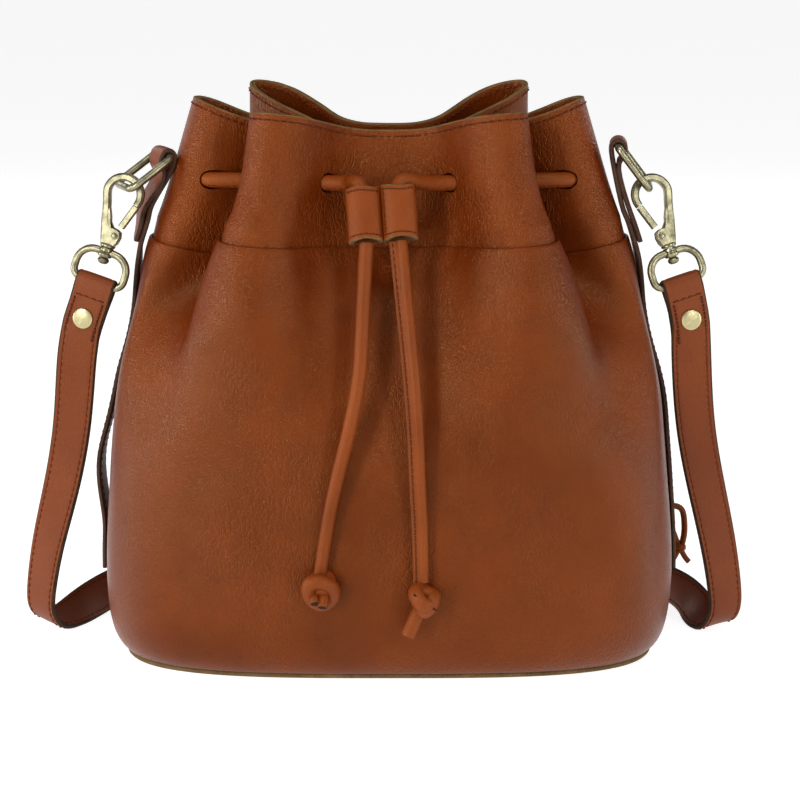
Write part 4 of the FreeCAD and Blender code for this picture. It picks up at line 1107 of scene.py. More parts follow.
def make_tail(looks, name):
    """One hanging end of the drawstring, from the toggle to its knot."""
    across, _, down, top = toggle_frame()
    start = top + across * (SIDES[name] * CHANNEL_APART / 2) + down * (TOGGLE_LONG + 1 * MM)
    route = [start] + [mm(*p) for p in TAILS[name]]
    line = even_line(spline_line(route), 1.6 * MM)
    build, threads = Build(), Build()
    section, slots, sew = TAIL_KINDS[name]
    frames = build.sweep(line, RIGHT, section, slots, 1)
    sew(threads, line, frames, [k / (len(line) - 1) for k in range(len(line))])
    tail = build.object("drawstring_tail_" + name, [looks["cord"], looks["suede"]], SHARP)
    attach(tail, "root", "cord_leather", "cord_tail_" + name)
    stitches = sewn(looks, threads, "tail_stitches_" + name, "root", "cord_leather")
    ball = make_knot(looks, name, route[-1])


def make_drawstring(looks):
    """The drawstring round the mouth, with its stitches outside and below."""
    line = even_line(string_line(), 1.5 * MM)
    build, threads = Build(), Build()
    build.sweep(line, RIGHT, circle(CORD_R, 20), 0, 1)
    piece = build.object("drawstring_loop", [looks["cord"], looks["edge"]], SHARP)
    attach(piece, "root", "cord_leather", "drawstring")
    low = []
    for k, p in enumerate(line):
        along = unit(line[min(k + 1, len(line) - 1)] - line[max(k - 1, 0)])
        outward = along.cross(UP) if abs(along.z) < 0.9 else AHEAD
        outward = outward if outward.dot(Vector((p.x, p.y * 2, 0))) > 0 else -outward
        low.append(unit(unit(outward) * 0.75 - UP * 0.65))
    row = [p + d * (CORD_R * 0.97) for p, d in zip(line, low)]
    stitch_line(threads, row, low, 3.4 * MM, 2.1 * MM, 0.26 * MM)
    sewn(looks, threads, "drawstring_stitches", "root", "cord_leather")


# ---------------------------------------------------------------- straps and bands
STRAP_W, STRAP_T, FOLD_T = 20.0, 3.0, 1.6


def strap_section(width, thick, crown=0.12):
    """Section of a sewn strap in metres: slightly crowned, with a shallow sewing groove near each edge."""
    half, h = width / 2, thick / 2
    top = []
    for k in range(25):
        x = -half + width * k / 24
        edge = half - abs(x)
        rise = h * (1 - math.exp(-edge / (0.35 * MM)) * 0.65)
        groove = 0.16 * MM * math.exp(-((edge - 2.4 * MM) / (0.7 * MM)) ** 2)
        top.append((x, rise + crown * MM * (1 - (x / half) ** 2) - groove))
    return top + [(x, -y) for x, y in reversed(top)]


def strap_piece(name, stations, materials):
    """A strap through (middle, width direction, width, thickness) stations; materials are face and edge."""
    build = Build()
    loops = []
    for k, (c, w, width, thick) in enumerate(stations):
        before, after = stations[max(k - 1, 0)][0], stations[min(k + 1, len(stations) - 1)][0]
        along = unit(after - before)
        side = unit(w - along * w.dot(along))
        out = along.cross(side)
        loops.append([c + side * x + out * y for x, y in strap_section(width, thick)])
    half = [1] + [0] * 22 + [1, 1]
    build.tube(loops, half + half, 1)
    return build.object(name, materials, 40)


def refined(stations, per_span):
    """Stations made denser on a smooth line."""
    rows = [(*s[0], *s[1], s[2], s[3]) for s in stations]
    made = []
    for r in through(rows, per_span):
        made.append((Vector(r[0:3]), unit(r[3:6]), float(r[6]), float(r[7])))
    return made


def clip_frame(name):
    """A clip's eye bar, and its across, back and along directions."""
    tilt, swivel = JOINTS[f"clip_{name}_tilt"], JOINTS[f"hook_{name}_swivel"]
    across, along = Vector(tilt["axis"]), Vector(swivel["axis"])
    return Vector(tilt["pos_m"]), across, along.cross(across), along


def strap_start(name, far, steps=200):
    """The strap's first stretch: a function from the distance below the eye's bar to (place, direction)."""
    bar, _, _, along = clip_frame(name)
    a, b, c, d = bar, bar - along * 16 * MM, far + UP * 14 * MM, far
    line = []
    for k in range(steps + 1):
        t = k / steps
        line.append(a * (1 - t) ** 3 + b * 3 * t * (1 - t) ** 2 + c * 3 * t * t * (1 - t) + d * t**3)
    lengths = np.concatenate([[0], np.cumsum([(q - p).length for p, q in zip(line, line[1:])])])

    def at(distance):
        k = max(1, min(int(np.searchsorted(lengths, distance * MM)), steps - 1))
        return line[k], unit(line[k + 1] - line[k - 1])

    return at


def strap_end(name, path):
    """Stations of a strap's end: the skived tail behind, the turn over the eye's bar, and the front layer."""
    bar, across, back, along = clip_frame(name)
    wide, front = across * -SIDES[name], back * SIDES[name]
    turn = (1.9 + 0.4 + FOLD_T / 2) * MM
    behind = ((34, -1.75), (28, -1.75), (22, -1.75), (14, -1.75), (9, -2.1), (5, -2.8))
    layer = ((4, 2.7, FOLD_T), (8, 1.5, 2.2), (12, 0.7, STRAP_T), (17, 0.7, STRAP_T), (22, 0.7, STRAP_T))
    middles = [(path(h)[0] + front * n * MM, FOLD_T) for h, n in behind]
    middles += [(p, FOLD_T) for p in half_turn(bar, front * -turn, along * turn)]
    middles += [(path(h)[0] + front * n * MM, t) for h, n, t in layer]
    return [(p, wide, STRAP_W * MM, t * MM) for p, t in middles]


# Behind the bag the straps run along a lane to the buckle.
LANE_Y, LANE_Z, BUCKLE_X, BUCKLE_WIRE = 101.0, 13.5, -6.0, 1.5
STRAP_TO = {"left": (-157.0, -15.0, 150.0), "right": (152.0, -16.5, 150.0)}
STRAP_FIRST_WIDE = {"left": (0.985, -0.08, -0.12), "right": (0.998, 0.03, 0.02)}
# Each strap's run from its first stretch to the buckle: middle, then width direction.
RUNS = {
    "left": [
        ((-161.0, -12.0, 117.0), (0.97, -0.22, -0.10)), ((-168.2, -8.0, 83.0), (0.92, -0.36, -0.14)),
        ((-176.4, -3.6, 53.0), (0.85, -0.50, -0.16)), ((-181.6, 0.4, 28.0), (0.80, -0.58, -0.08)),
        ((-182.4, 3.0, 13.5), (0.78, -0.62, -0.05)), ((-178.2, 9.2, 5.2), (0.76, -0.62, -0.16)),
        ((-170.5, 20.0, 4.6), (0.66, -0.62, -0.40)), ((-161.0, 36.0, 7.2), (0.42, -0.52, -0.74)),
        ((-147.0, 58.0, 9.6), (0.16, -0.22, -0.96)), ((-124.0, 81.0, 10.3), (0, 0, -1)),
        ((-92.0, 96.0, 11.2), (0, 0, -1)), ((-60.0, 101.0, 13.2), (0, 0, -1)),
        ((-34.0, 101.0, 13.5), (0, 0, -1)),
    ],
    "right": [
        ((155.6, -13.0, 117.0), (0.99, 0.12, 0.10)), ((162.8, -8.0, 83.0), (0.94, 0.24, 0.20)),
        ((170.2, -3.0, 53.0), (0.91, 0.34, 0.20)), ((175.2, 1.0, 27.0), (0.90, 0.41, 0.14)),
        ((175.6, 2.6, 11.5), (0.90, 0.42, 0.05)), ((171.0, 8.6, 4.2), (0.89, 0.42, 0.16)),
        ((166.0, 21.0, 5.4), (0.72, 0.38, 0.56)), ((161.0, 39.0, 8.8), (0.36, 0.16, 0.92)),
        ((149.0, 62.0, 10.2), (0, 0, 1)), ((125.0, 84.0, 10.2), (0, 0, 1)), ((92.0, 97.0, 10.6), (0, 0, 1)),
        ((60.0, 101.0, 11.8), (0, 0, 1)), ((32.0, 101.4, 13.2), (0, 0, 1)), ((14.0, 101.8, 13.5), (0, 0, 1)),
        ((1.0, 105.4, 13.5), (0, 0, 1)), ((-10.0, 107.8, 13.5), (0, 0, 1)), ((-27.0, 106.6, 13.5), (0, 0, 1)),
        ((-50.0, 104.5, 13.5), (0, 0, 1)), ((-74.0, 104.5, 13.5), (0, 0, 1)),
    ],
}


def buckle_end():
    """The left strap's far end, turned round the buckle's bar and back under itself."""
    bar, turn = mm(BUCKLE_X, LANE_Y, LANE_Z), (BUCKLE_WIRE + 0.3 + FOLD_T / 2) * MM
    middles = [(mm(-22, LANE_Y, LANE_Z), 2.4), (mm(-13, LANE_Y + 1.6, LANE_Z), FOLD_T)]
    middles += [(p, FOLD_T) for p in half_turn(bar, Vector((0, turn, 0)), Vector((turn, 0, 0)))]
    middles += [(mm(x, LANE_Y + y, LANE_Z), FOLD_T) for x, y in ((-13, -2.3), (-24, -2.5), (-44, -2.5))]
    return [(p, -UP, STRAP_W * MM, t * MM) for p, t in middles]


def edge_stitches(threads, stations, inset=2.5, sink=0.14, skip_ends=2):
    """Two rows of stitches along a strap, on both faces."""
    for side_sign in (-1, 1):
        for face in (-1, 1):
            line, outs = [], []
            for k in range(skip_ends, len(stations) - skip_ends):
                c, w, width, thick = stations[k]
                along = unit(stations[k + 1][0] - stations[k - 1][0])
                side = unit(w - along * w.dot(along))
                out = along.cross(side) * face
                line.append(c + side * side_sign * (width / 2 - inset * MM) + out * (thick / 2 - sink * MM))
                outs.append(out)
            stitch_line(threads, line, outs)


def end_stitches(threads, name, path, station):
    """The stitches that hold a strap's turned end: a row across below the eye and one down each edge."""
    middle, w, _, thick = station
    front, wide = clip_frame(name)[2] * SIDES[name], unit(w)
    row = [middle + wide * (x * MM) + front * (thick / 2 + 0.1 * MM) for x in np.linspace(-7.5, 7.5, 9)]
    stitch_line(threads, row, [front] * 9)
    for x in (-7.4, 7.4):
        row = [path(d)[0] + wide * (x * MM) + front * 2.62 * MM for d in np.linspace(9.5, 30, 9)]
        stitch_line(threads, row, [front] * 9)


def make_strap(looks, name):
    """One part of the shoulder strap, from the clip's eye to the buckle."""
    far = mm(*STRAP_TO[name])
    path = strap_start(name, far)
    end = strap_end(name, path)
    size = (STRAP_W * MM, STRAP_T * MM)
    run = [(end[-1][0], end[-1][1], *size), (far + mm(0, -0.7, 0), Vector(STRAP_FIRST_WIDE[name]), *size)]
    run = refined(run + [(mm(*c), Vector(w), *size) for c, w in RUNS[name]], 9)
    stations = end[:-1] + run + (buckle_end() if name == "left" else [])
    piece = strap_piece("leather_strap_" + name, stations, [looks["strap"], looks["painted"]])
    attach(piece, "root", "strap_leather", "strap_" + name)
    edges, ends = Build(), Build()
    edge_stitches(edges, [end[-3], end[-2]] + run)
    sewn(looks, edges, "strap_stitches_" + name, "root", "strap_leather", "strap_thread")
    end_stitches(ends, name, path, end[-4])
    sewn(looks, ends, "strap_end_stitches_" + name, "root", "strap_leather")


BAND_W, BAND_LOOP_W, BAND_T = 22.0, 17.5, 2.4
BAND_HEIGHTS = (40, 50, 60, 70, 85, 100, 115, 130, 145, 160, 175, 188, 200, 210, 220, 228)
BAND_TURNS_FROM, BAND_TURNS_OVER = 195.0, 45.0
RING_WIRE, RING_HALF = 1.75 * MM, 12.75 * MM
# How far the left band stands off the bag, from what height and over what height.
BULGE, BULGE_FROM, BULGE_LONG = 5.0, 58, 76


def ring_frame(name):
    """A ring's near bar, its bars' direction, and the way to its far bar."""
    joint = JOINTS[f"ring_{name}_swing"]
    near, bar = Vector(joint["pos_m"]), Vector(joint["axis"])
    low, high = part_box("ring_" + name)
    away = (low + high) / 2 - near
    return near, bar, unit(away - bar * away.dot(bar))


def side_place(z, side):
    """A point of the bag's side at a height, and the outward direction there."""
    share = height_share(z * MM, 1.0)
    points = smooth_skin([1.0], [max(0, share - 0.01), share, min(1, share + 0.01)])[0]
    t = unit(points[2] - points[0])
    x = points[1][0] - float(side_tuck(points[1][2] / MM)) * MM
    return Vector((side * x, 0, points[1][2])), Vector((side * t.z, 0, -t.x))


def band_layer(side, bar, heights, lift):
    """Stations of a side band, which turns towards the ring's bar and narrows near its top."""
    stations = []
    for z in heights:
        p, n = side_place(z, side)
        f = max(0.0, (z - BAND_TURNS_FROM) / BAND_TURNS_OVER)
        aside = 0.8 * BAND_LOOP_W * f * abs(bar.x)
        w = unit(Vector((0, 1, 0)) * (1 - f) + bar * f)
        width = BAND_W + f * (BAND_LOOP_W - BAND_W)
        stations.append((p + n * (lift + aside) * MM, w, width * MM, BAND_T * MM))
    return stations


def bulged(place):
    """A point of the left band, which stands off the bag near the bottom."""
    share = max(0.0, min(1.0, (place.z / MM - BULGE_FROM) / BULGE_LONG))
    return place - mm(BULGE * math.sin(math.pi * share) ** 2, 0, 0)


def make_band(looks, name):
    """A side band, up the bag's side, round the ring's bar and down inside itself."""
    side = SIDES[name]
    near, bar, _ = ring_frame(name)
    bar = bar if bar.y > 0 else -bar
    lift, turn = 0.6 + BAND_T / 2, RING_WIRE + (0.3 + BAND_T / 2) * MM
    stations = band_layer(side, bar, BAND_HEIGHTS, lift)
    if name == "left":
        stations = [(bulged(c), *rest) for c, *rest in stations]
    up = unit(near - stations[-1][0])
    up = unit(up - bar * up.dot(bar))
    out = bar.cross(up) * side
    loop = [near - out * turn - up * 6 * MM] + half_turn(near, out * -turn, up * turn)
    loop.append(near + out * (turn - 0.5 * MM) - up * 4.5 * MM)
    loop.append(near - out * (turn - (BAND_T + 0.4) * MM) - up * 11 * MM)
    stations += [(p, bar, BAND_LOOP_W * MM, BAND_T * MM) for p in loop]
    stations += band_layer(side, bar, (226, 217, 208), lift + BAND_T + 0.3)
    piece = strap_piece("leather_side_band_" + name, refined(stations, 3),
                        [looks["strap"], looks["band_edge"]])
    attach(piece, "root", "edge_leather", "side_band_" + name)
    threads = Build()
    edge_stitches(threads, refined(stations[:12], 3), 3.4, 0.36)
    sewn(looks, threads, "band_stitches_" + name, "root", "edge_leather")


# ---------------------------------------------------------------- base and inside
BASE_A, BASE_B = 135.0, 65.5


def oblong_ring(a, b, count=200):
    """A closed ring of plan points, anticlockwise from above."""
    quarter = oblong_points(a, b, np.linspace(0, 1, count // 4 + 1))
    plan = [(x, -y) for x, y in quarter] + [(x, y) for x, y in quarter[::-1][1:]]
    plan += [(-x, y) for x, y in quarter[1:]] + [(-x, -y) for x, y in quarter[::-1][1:-1]]
    return plan


def make_base(looks):
    """The base panel, and the rolled welt round it."""
    build, welt = Build(), Build()
    steps = ((-1.2, 0.0), (-0.3, 0.25), (0, 0.9), (0, 1.9), (-0.4, 2.4), (-3, 2.4))
    build.tube([[mm(x * (BASE_A + grow) / BASE_A, y * (BASE_B + grow) / BASE_B, z)
                 for x, y in oblong_ring(BASE_A, BASE_B)] for grow, z in steps], 0, 0)
    attach(build.object("leather_base", [looks["bag"]], 40), "root", "bag_leather", "base_panel")
    plan = oblong_ring(BASE_A - 0.6, BASE_B - 0.6, 320)
    loops = []
    for k, (x, y) in enumerate(plan):
        ahead, behind = plan[(k + 1) % len(plan)], plan[k - 1]
        way = unit((ahead[1] - behind[1], behind[0] - ahead[0], 0))
        loops.append(ellipse(mm(x, y, 1.5), way * 1.5 * MM, UP * 1.45 * MM, 12))
    welt.tube(loops, 0, 0, True)
    attach(welt.object("leather_welt", [looks["edge"]]), "root", "edge_leather", "base_welt")


LINING_DEPTH, LINING_TOP = 6.2, 186


def make_lining(looks):
    """The lining's wall inside the skin, and its floor on the base board."""
    heights = np.linspace(0.004, height_share(LINING_TOP * MM), 40)
    points, normals = skin_grid(np.linspace(0, 2, 241)[:-1], heights, True)
    depth = np.full(len(heights), LINING_DEPTH * MM)
    build = Build()
    build.tube(shell_loops(points, normals, depth, depth + 0.7 * MM, 2), 0, 0, True)
    steps = ((0.965, 5.2), (0.99, 5.5), (0.985, 5.9), (0.8, 5.8), (0.5, 5.7), (0.2, 5.8))
    plan = oblong_ring(BASE_A - 8.5, BASE_B - 8.5, 120)
    build.tube([[mm(x * share, y * share, z) for x, y in plan] for share, z in steps], 0, 0)
    attach(build.object("cloth_lining", [looks["lining"]], SHARP), "root", "lining_cloth", "lining")


# ---------------------------------------------------------------- metal
def hardware(looks, build, name, body, *nodes, metal="brass"):
    """The metal piece of a build, in place of the CAD's nodes."""
    attach(build.object(name, [looks[metal]], 38), body, "antique_brass", *nodes)


def lathe(build, origin, axis, profile, sides=32):
    """A turned solid: (radius, height) steps along the axis, in millimetres."""
    axis = unit(axis)
    first = axis.orthogonal().normalized()
    second = axis.cross(first)
    loops = [ellipse(origin + axis * (h * MM), first * (r * MM), second * (r * MM), sides) for r, h in profile]
    build.tube(loops, 0, 0)


def facet_bar(wide, thick, bevel):
    """Section of a flat bar with bevelled corners, from sizes in millimetres."""
    a, b, bevel = wide / 2 * MM, thick / 2 * MM, bevel * MM
    return [(a, b - bevel), (a - bevel, b), (bevel - a, b), (-a, b - bevel),
            (-a, bevel - b), (bevel - a, -b), (a - bevel, -b), (a, bevel - b)]


def plate(build, outline, thick, bevel, put):
    """A flat plate of an outline in the clip's plane, with bevelled edges on both faces."""
    count = len(outline)
    middle = (sum(x for x, z in outline) / count, sum(z for x, z in outline) / count)
    inset = []
    for x, z in outline:
        size = math.hypot(x - middle[0], z - middle[1])
        k = 1 - bevel * 1.2 / size
        inset.append((middle[0] + (x - middle[0]) * k, middle[1] + (z - middle[1]) * k))
    half = thick / 2
    loops = [[put(x, y, z) for x, z in shape]
             for shape, y in ((inset, -half), (outline, bevel - half), (outline, half - bevel), (inset, half))]
    build.tube(loops, 0, 0)


def wire_loop(build, points, radii, radius, way, sides=20):
    """A closed loop of round wire through corners given in order; the first point lies in mid side."""
    build.sweep(bent_wire(points, radii)[:-1], way, circle(radius, sides), 0, 0, True)


EYE_HALF, EYE_HIGH, EYE_LOW_R, EYE_TOP_R = 13.1, 15.9, 4.5, 8.5
EYE_WIRE = 1.9
HOOK_T = 4.4
BOW_MIDDLE, BOW_R, BOW_END = 46.0, 8.55, -24
GATE_PIVOT = (2.0, 25.0)
# Turned profiles of the clip, as (radius, height) in millimetres, and the outline of the hook's base.
PIN_CAP = [(2.0, -0.1), (1.95, 0.1), (1.8, 0.26), (1.5, 0.3), (1.42, 0.1), (1.22, 0.1), (1.15, 0.3), (0.9, 0.4),
           (0.02, 0.42)]
BARREL = [(2.0, 13.2), (3.2, 13.4), (3.65, 14.0), (3.65, 14.9), (3.25, 15.3), (3.25, 16.1), (3.7, 16.5),
          (3.7, 17.6), (3.3, 18.2), (2.2, 18.35)]
COLLAR = [(2.0, 18.42), (3.5, 18.5), (3.9, 18.9), (3.9, 19.5), (3.2, 20.2), (2.0, 20.4)]
SWIVEL_HEAD = [(0.02, 9.7), (1.6, 9.85), (2.6, 10.6), (3.0, 11.6), (2.6, 12.6), (1.8, 13.1), (1.75, 13.4)]
HOOK_BASE = [(-3.6, 19.2), (3.3, 19.2), (4.7, 21.4), (5.3, 24.6), (4.7, 27.3), (2.8, 28.3), (0.2, 28.7),
             (-1.9, 31.4), (-2.9, 34.6), (-4.5, 38.0), (-7.9, 36.0), (-6.9, 31.0), (-5.7, 26.4), (-4.7, 22.6)]
HOOK_STEM = [(-4.4, 30.0), (-5.6, 35.0), (-6.9, 40.0), (-8.0, 43.6)]


def bow_point(angle):
    """A point of the hook's bow, across and along the clip."""
    return BOW_R * math.cos(angle), BOW_MIDDLE + BOW_R * math.sin(angle)


def hook_section(share):
    """Section of the hook's bow, which thins towards its nose."""
    thin = 1 - 0.14 * max(0.0, share * 2 - 1.3)
    return facet_bar(HOOK_T * thin, 3.9 * thin, 0.95)


def make_clip(looks, name):
    """The swivel snap hook of one side: eye, hook with the gate's pin, and gate."""
    bar, across, back, along = clip_frame(name)

    def put(x, y, z):
        return bar + (across * x + back * y + along * z) * MM

    eye, hook, gate = Build(), Build(), Build()
    corners = [(0, 0), (EYE_HALF, 0), (EYE_HALF, EYE_HIGH), (-EYE_HALF, EYE_HIGH), (-EYE_HALF, 0), (0, 0)]
    radii = [r * MM for r in (EYE_LOW_R, EYE_TOP_R, EYE_TOP_R, EYE_LOW_R)]
    wire_loop(eye, [put(x, 0, z) for x, z in corners], radii, EYE_WIRE * MM, back)
    lathe(eye, bar, along, BARREL)
    hardware(looks, eye, "metal_eye_" + name, "eye_" + name, "clip_eye_" + name)

    bow = [bow_point(math.radians(180 + (BOW_END - 180) * k / 26)) for k in range(27)]
    hook.sweep([put(x, 0, z) for x, z in HOOK_STEM + bow], back, hook_section)
    plate(hook, HOOK_BASE, 4.0, 0.8, put)
    lathe(hook, bar, along, COLLAR)
    lathe(hook, bar, along, SWIVEL_HEAD)
    for way in (-1, 1):
        lathe(hook, put(GATE_PIVOT[0], way * 1.95, GATE_PIVOT[1]), back * way, PIN_CAP)
    hardware(looks, hook, "metal_hook_" + name, "hook_" + name, "clip_hook_" + name, "gate_pin_" + name)

    nose = bow_point(math.radians(BOW_END))
    tip, low = (nose[0] + 0.1, nose[1] - 0.55), (GATE_PIVOT[0] + 1.75, GATE_PIVOT[1] + 5.0)
    rail = [put(low[0] + (tip[0] - low[0]) * k / 8, 0, low[1] + (tip[1] - low[1]) * k / 8) for k in range(9)]
    gate.sweep(rail, back, facet_bar(3.0, 3.3, 0.5))
    hardware(looks, gate, "metal_gate_" + name, "gate_" + name, "clip_gate_" + name)


def make_ring(looks, name):
    """A ring in a side band's loop."""
    near, bar, away = ring_frame(name)
    side, long = bar * RING_HALF, away * (2 * RING_HALF)
    corners = [near, near - side, near - side + long, near + side + long, near + side, near]
    build = Build()
    wire_loop(build, corners, [r * MM for r in (2.6, 5.0, 5.0, 2.6)], RING_WIRE + 0.15 * MM, bar.cross(away))
    hardware(looks, build, "metal_ring_" + name, "ring_" + name, "ring_" + name)


# How far the rivet lies below the eye's bar.
RIVET_BELOW = 19.0


def make_rivet(looks, name):
    """The cap rivet through a strap's end: a low dome in front, a flat cap behind, and the shank."""
    middle, down = strap_start(name, mm(*STRAP_TO[name]))(RIVET_BELOW)
    front = clip_frame(name)[2] * SIDES[name]
    facing = unit(front - down * front.dot(down))
    build = Build()
    dome = [(5.15, 2.45), (5.2, 2.75), (5.05, 3.1), (4.5, 3.35), (3.6, 3.52), (2.2, 3.68), (0.02, 3.76)]
    lathe(build, middle, facing, dome, 40)
    lathe(build, middle, -facing, [(4.2, 2.8), (4.2, 3.3), (3.8, 3.6), (0.02, 3.65)], 40)
    lathe(build, middle - facing * 2.9 * MM, facing, [(1.6, 0), (1.6, 5.6)], 16)
    hardware(looks, build, "metal_rivet_" + name, "root", "strap_rivet_" + name, metal="cap_brass")


PRONG_R = 0.95 * MM


def make_buckle(looks):
    """The strap's buckle behind the bag, and its prong."""
    start = mm(BUCKLE_X, LANE_Y, LANE_Z)
    out, half = mm(19.0, 4.6, 0), UP * (11.9 * MM)
    corners = [start, start + half, start + out + half, start + out - half, start - half, start]
    buckle, prong = Build(), Build()
    wire_loop(buckle, corners, [1.9 * MM] * 4, BUCKLE_WIRE * MM, unit(out).cross(UP))
    hardware(looks, buckle, "metal_buckle", "root", "buckle_frame")
    tip = start + mm(20.2, 4.6 + BUCKLE_WIRE + 1.55, 0)
    base = start + mm(1.6, 2.0, 0)
    prong.sweep([base + (tip - base) * (k / 10) for k in range(11)], UP,
                lambda share: circle(PRONG_R * (1 - 0.25 * share), 16))
    coil = ((0.15, -1.2), (1.0, -1.2), (1.3, -0.8), (1.3, 0.8), (1.0, 1.2), (0.15, 1.2))
    lathe(prong, start, UP, [(BUCKLE_WIRE + r, h) for r, h in coil])
    hardware(looks, prong, "metal_prong", "buckle_prong", "buckle_prong")


def make_keeper(looks):
    """The leather keeper round both layers of the strap."""
    low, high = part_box("strap_keeper")
    keeper = Build()
    middle, size = (low + high) / 2, (high - low) / 2
    ring = [(1, -0.55), (1, 0.55), (0.55, 1), (-0.55, 1), (-1, 0.55), (-1, -0.55), (-0.55, -1), (0.55, -1)]
    section = [(-1, 1, 1), (-0.9, 1.035, 1.035), (0.9, 1.035, 1.035), (1, 1, 1), (1, 0.76, 0.9),
               (-1, 0.76, 0.9)]
    keeper.tube([[middle + Vector((size.x * a, size.y * y * b, size.z * z * c)) for a, b, c in section]
                 for y, z in ring], 0, 0, True)
    attach(keeper.object("leather_keeper", [looks["strap"]], 40), "root", "strap_leather", "strap_keeper")


# ---------------------------------------------------------------- zip pocket
ZIP_LONG, SLIDE_AT = 110.0, 6.0
THONG_KNOT = (154.5, 24.5, 41.0)


def zip_frame():
    """The zip's lower end, and its outward, crosswise and upward directions."""
    up = Vector(JOINTS["zip_slide"]["axis"])
    lean = Vector((0.958, 0.287, 0))
    out = unit(lean - up * lean.dot(up))
    foot = Vector(JOINTS["zip_puller_lift"]["pos_m"]) - out * 0.6 * MM - up * ((0.4 + SLIDE_AT) * MM)
    return foot, out, up.cross(out), up


def zip_put(x, y, z):
    """A point x outwards, y across and z up the zip."""
    foot, out, side, up = zip_frame()
    return foot + (out * x + side * y + up * z) * MM


def block(build, low, high, bevel):
    """A small bevelled block between two corners given out, across and up the zip."""
    loops = []
    for x, inset in ((low[0], bevel), (low[0] + bevel, 0), (high[0] - bevel, 0), (high[0], bevel)):
        y0, y1, z0, z1 = low[1] + inset, high[1] - inset, low[2] + inset, high[2] - inset
        loops.append([zip_put(x, y, z) for y, z in ((y0, z0), (y1, z0), (y1, z1), (y0, z1))])
    build.tube(loops, 0, 0)


TOOTH_PITCH, TEETH_FROM = 1.6, SLIDE_AT + 5.4
TAPE_EDGE = [(-5.0, 0.9), (-4.3, 0.95), (-4.25, 1.9), (-4.5, 2.2), (-4.45, 6.9), (-4.95, 7.0)]


def make_zip(looks):
    """The zip's two tapes, its teeth and its end stops."""
    tape, teeth, stops = Build(), Build(), Build()
    for side in (-1, 1):
        loops = []
        for k in range(40):
            z = -3 + (ZIP_LONG + 6) * k / 39
            wave = 0.15 * math.sin(z * 0.16 + side)
            loops.append([zip_put(x + wave, side * y, z) for x, y in TAPE_EDGE])
        tape.tube(loops, 0, 0)
    attach(tape.object("cloth_zip_tape", [looks["zip"]], 40), "root", "zip_cloth", "zip_tape")
    for k in range(int((ZIP_LONG - TEETH_FROM) / TOOTH_PITCH)):
        z = TEETH_FROM + TOOTH_PITCH * k
        inner, outer = (-0.5, 2.2) if k % 2 else (-2.2, 0.5)
        block(teeth, (-3.7, inner, z), (-1.95, outer, z + 1.1), 0.22)
    hardware(looks, teeth, "metal_zip_teeth", "root", "zip_teeth")
    for z in (ZIP_LONG + 0.2, -2.2):
        block(stops, (-3.7, -2.6, z), (-1.7, 2.6, z + 1.6), 0.3)
    hardware(looks, stops, "metal_zip_stops", "root", "zip_stops")


SHIELD = [(-2.6, -5.0), (2.6, -5.0), (3.6, -3.6), (4.1, -0.5), (4.0, 2.6), (2.6, 4.6), (0.0, 5.0), (-2.6, 4.6),
          (-4.0, 2.6), (-4.1, -0.5), (-3.6, -3.6)]


def make_zip_slider(looks):
    """The slider's two plates with the walls between them, and the arch that holds the pull."""
    build = Build()
    for x0, x1 in ((-1.5, -0.3), (-6.2, -5.4)):
        build.tube([[zip_put(x, y * k, SLIDE_AT + z * k) for y, z in SHIELD]
                    for x, k in ((x0, 0.93), (x0 + 0.2, 1), (x1 - 0.25, 1), (x1, 0.9))], 0, 0)
    for side in (-1, 1):
        block(build, (-3.9, side * 3.3 - 0.4, SLIDE_AT - 3.6), (-1.3, side * 3.3 + 0.4, SLIDE_AT + 2.6), 0.12)
    arch = [zip_put(x, 0, SLIDE_AT + z) for x, z in ((-0.6, 3.6), (2.2, 3.4), (2.2, -2.6), (-0.6, -3.0))]
    build.sweep(bent_wire(arch, [1.3 * MM, 1.3 * MM], 6), zip_frame()[2],
                [(a * 1.3, b) for a, b in circle(0.7 * MM, 14)])
    hardware(looks, build, "metal_zip_slider", "zip_slider", "zip_slider")


def make_zip_pull(looks):
    """The pull's ring, with the leather lace and its knot."""
    _, out, side, up = zip_frame()
    hinge = Vector(JOINTS["zip_puller_lift"]["pos_m"])
    half, long = side * 2.6 * MM, unit(out * 0.55 - up) * 9.6 * MM
    pull, lace, ball = Build(), Build(), Build()
    wire_loop(pull, [hinge, hinge - half, hinge - half + long, hinge + half + long, hinge + half, hinge],
              [1.6 * MM] * 4, 0.75 * MM, out, 14)
    hardware(looks, pull, "metal_zip_pull", "zip_puller", "zip_puller")

    low, knot = hinge + long, mm(*THONG_KNOT)
    loop = [knot + mm(-1.6, 0, 2.0), knot + mm(-3.4, -0.6, 8.0)]
    loop += [low + out * x * MM + up * z * MM
             for x, z in ((-3.2, -3), (-2.2, 2.4), (2.2, 3.0), (7.4, 0.4), (8.2, -6))]
    loop += [knot + mm(2.4, 0, 5.4), knot + mm(1.0, 0.3, 0.5)]
    flat = [(a * 1.2, b) for a, b in circle(1.6 * MM, 16)]
    lace.sweep(even_line(spline_line(loop), 0.8 * MM), side, flat, 0, 1)
    lace_piece = lace.object("leather_zip_lace", [looks["cord"], looks["edge"]], SHARP)
    ring_wrap(ball, knot + mm(0, 0, 0.4), (0.5, -0.2, 0.84), 2.1 * MM, 1.8 * MM, sides=14)
    ring_wrap(ball, knot + mm(0.2, 0, -1.0), (-0.55, -0.2, 0.8), 1.9 * MM, 1.7 * MM, sides=14)
    for tip in (mm(-4.5, 0.5, -9.0), mm(5.0, -0.5, -8.5)):
        cord_end(ball, [knot, knot + tip * 0.5 + mm(0, 0, -1.0), knot + tip], 1.45 * MM)
    knot_piece = ball.object("leather_zip_knot", [looks["cord"], looks["edge"], looks["hole"]], SHARP)
    attach(lace_piece, "zip_puller", "cord_leather", "zip_thong")
    attach(knot_piece, "zip_puller", "cord_leather", "zip_thong_knot")


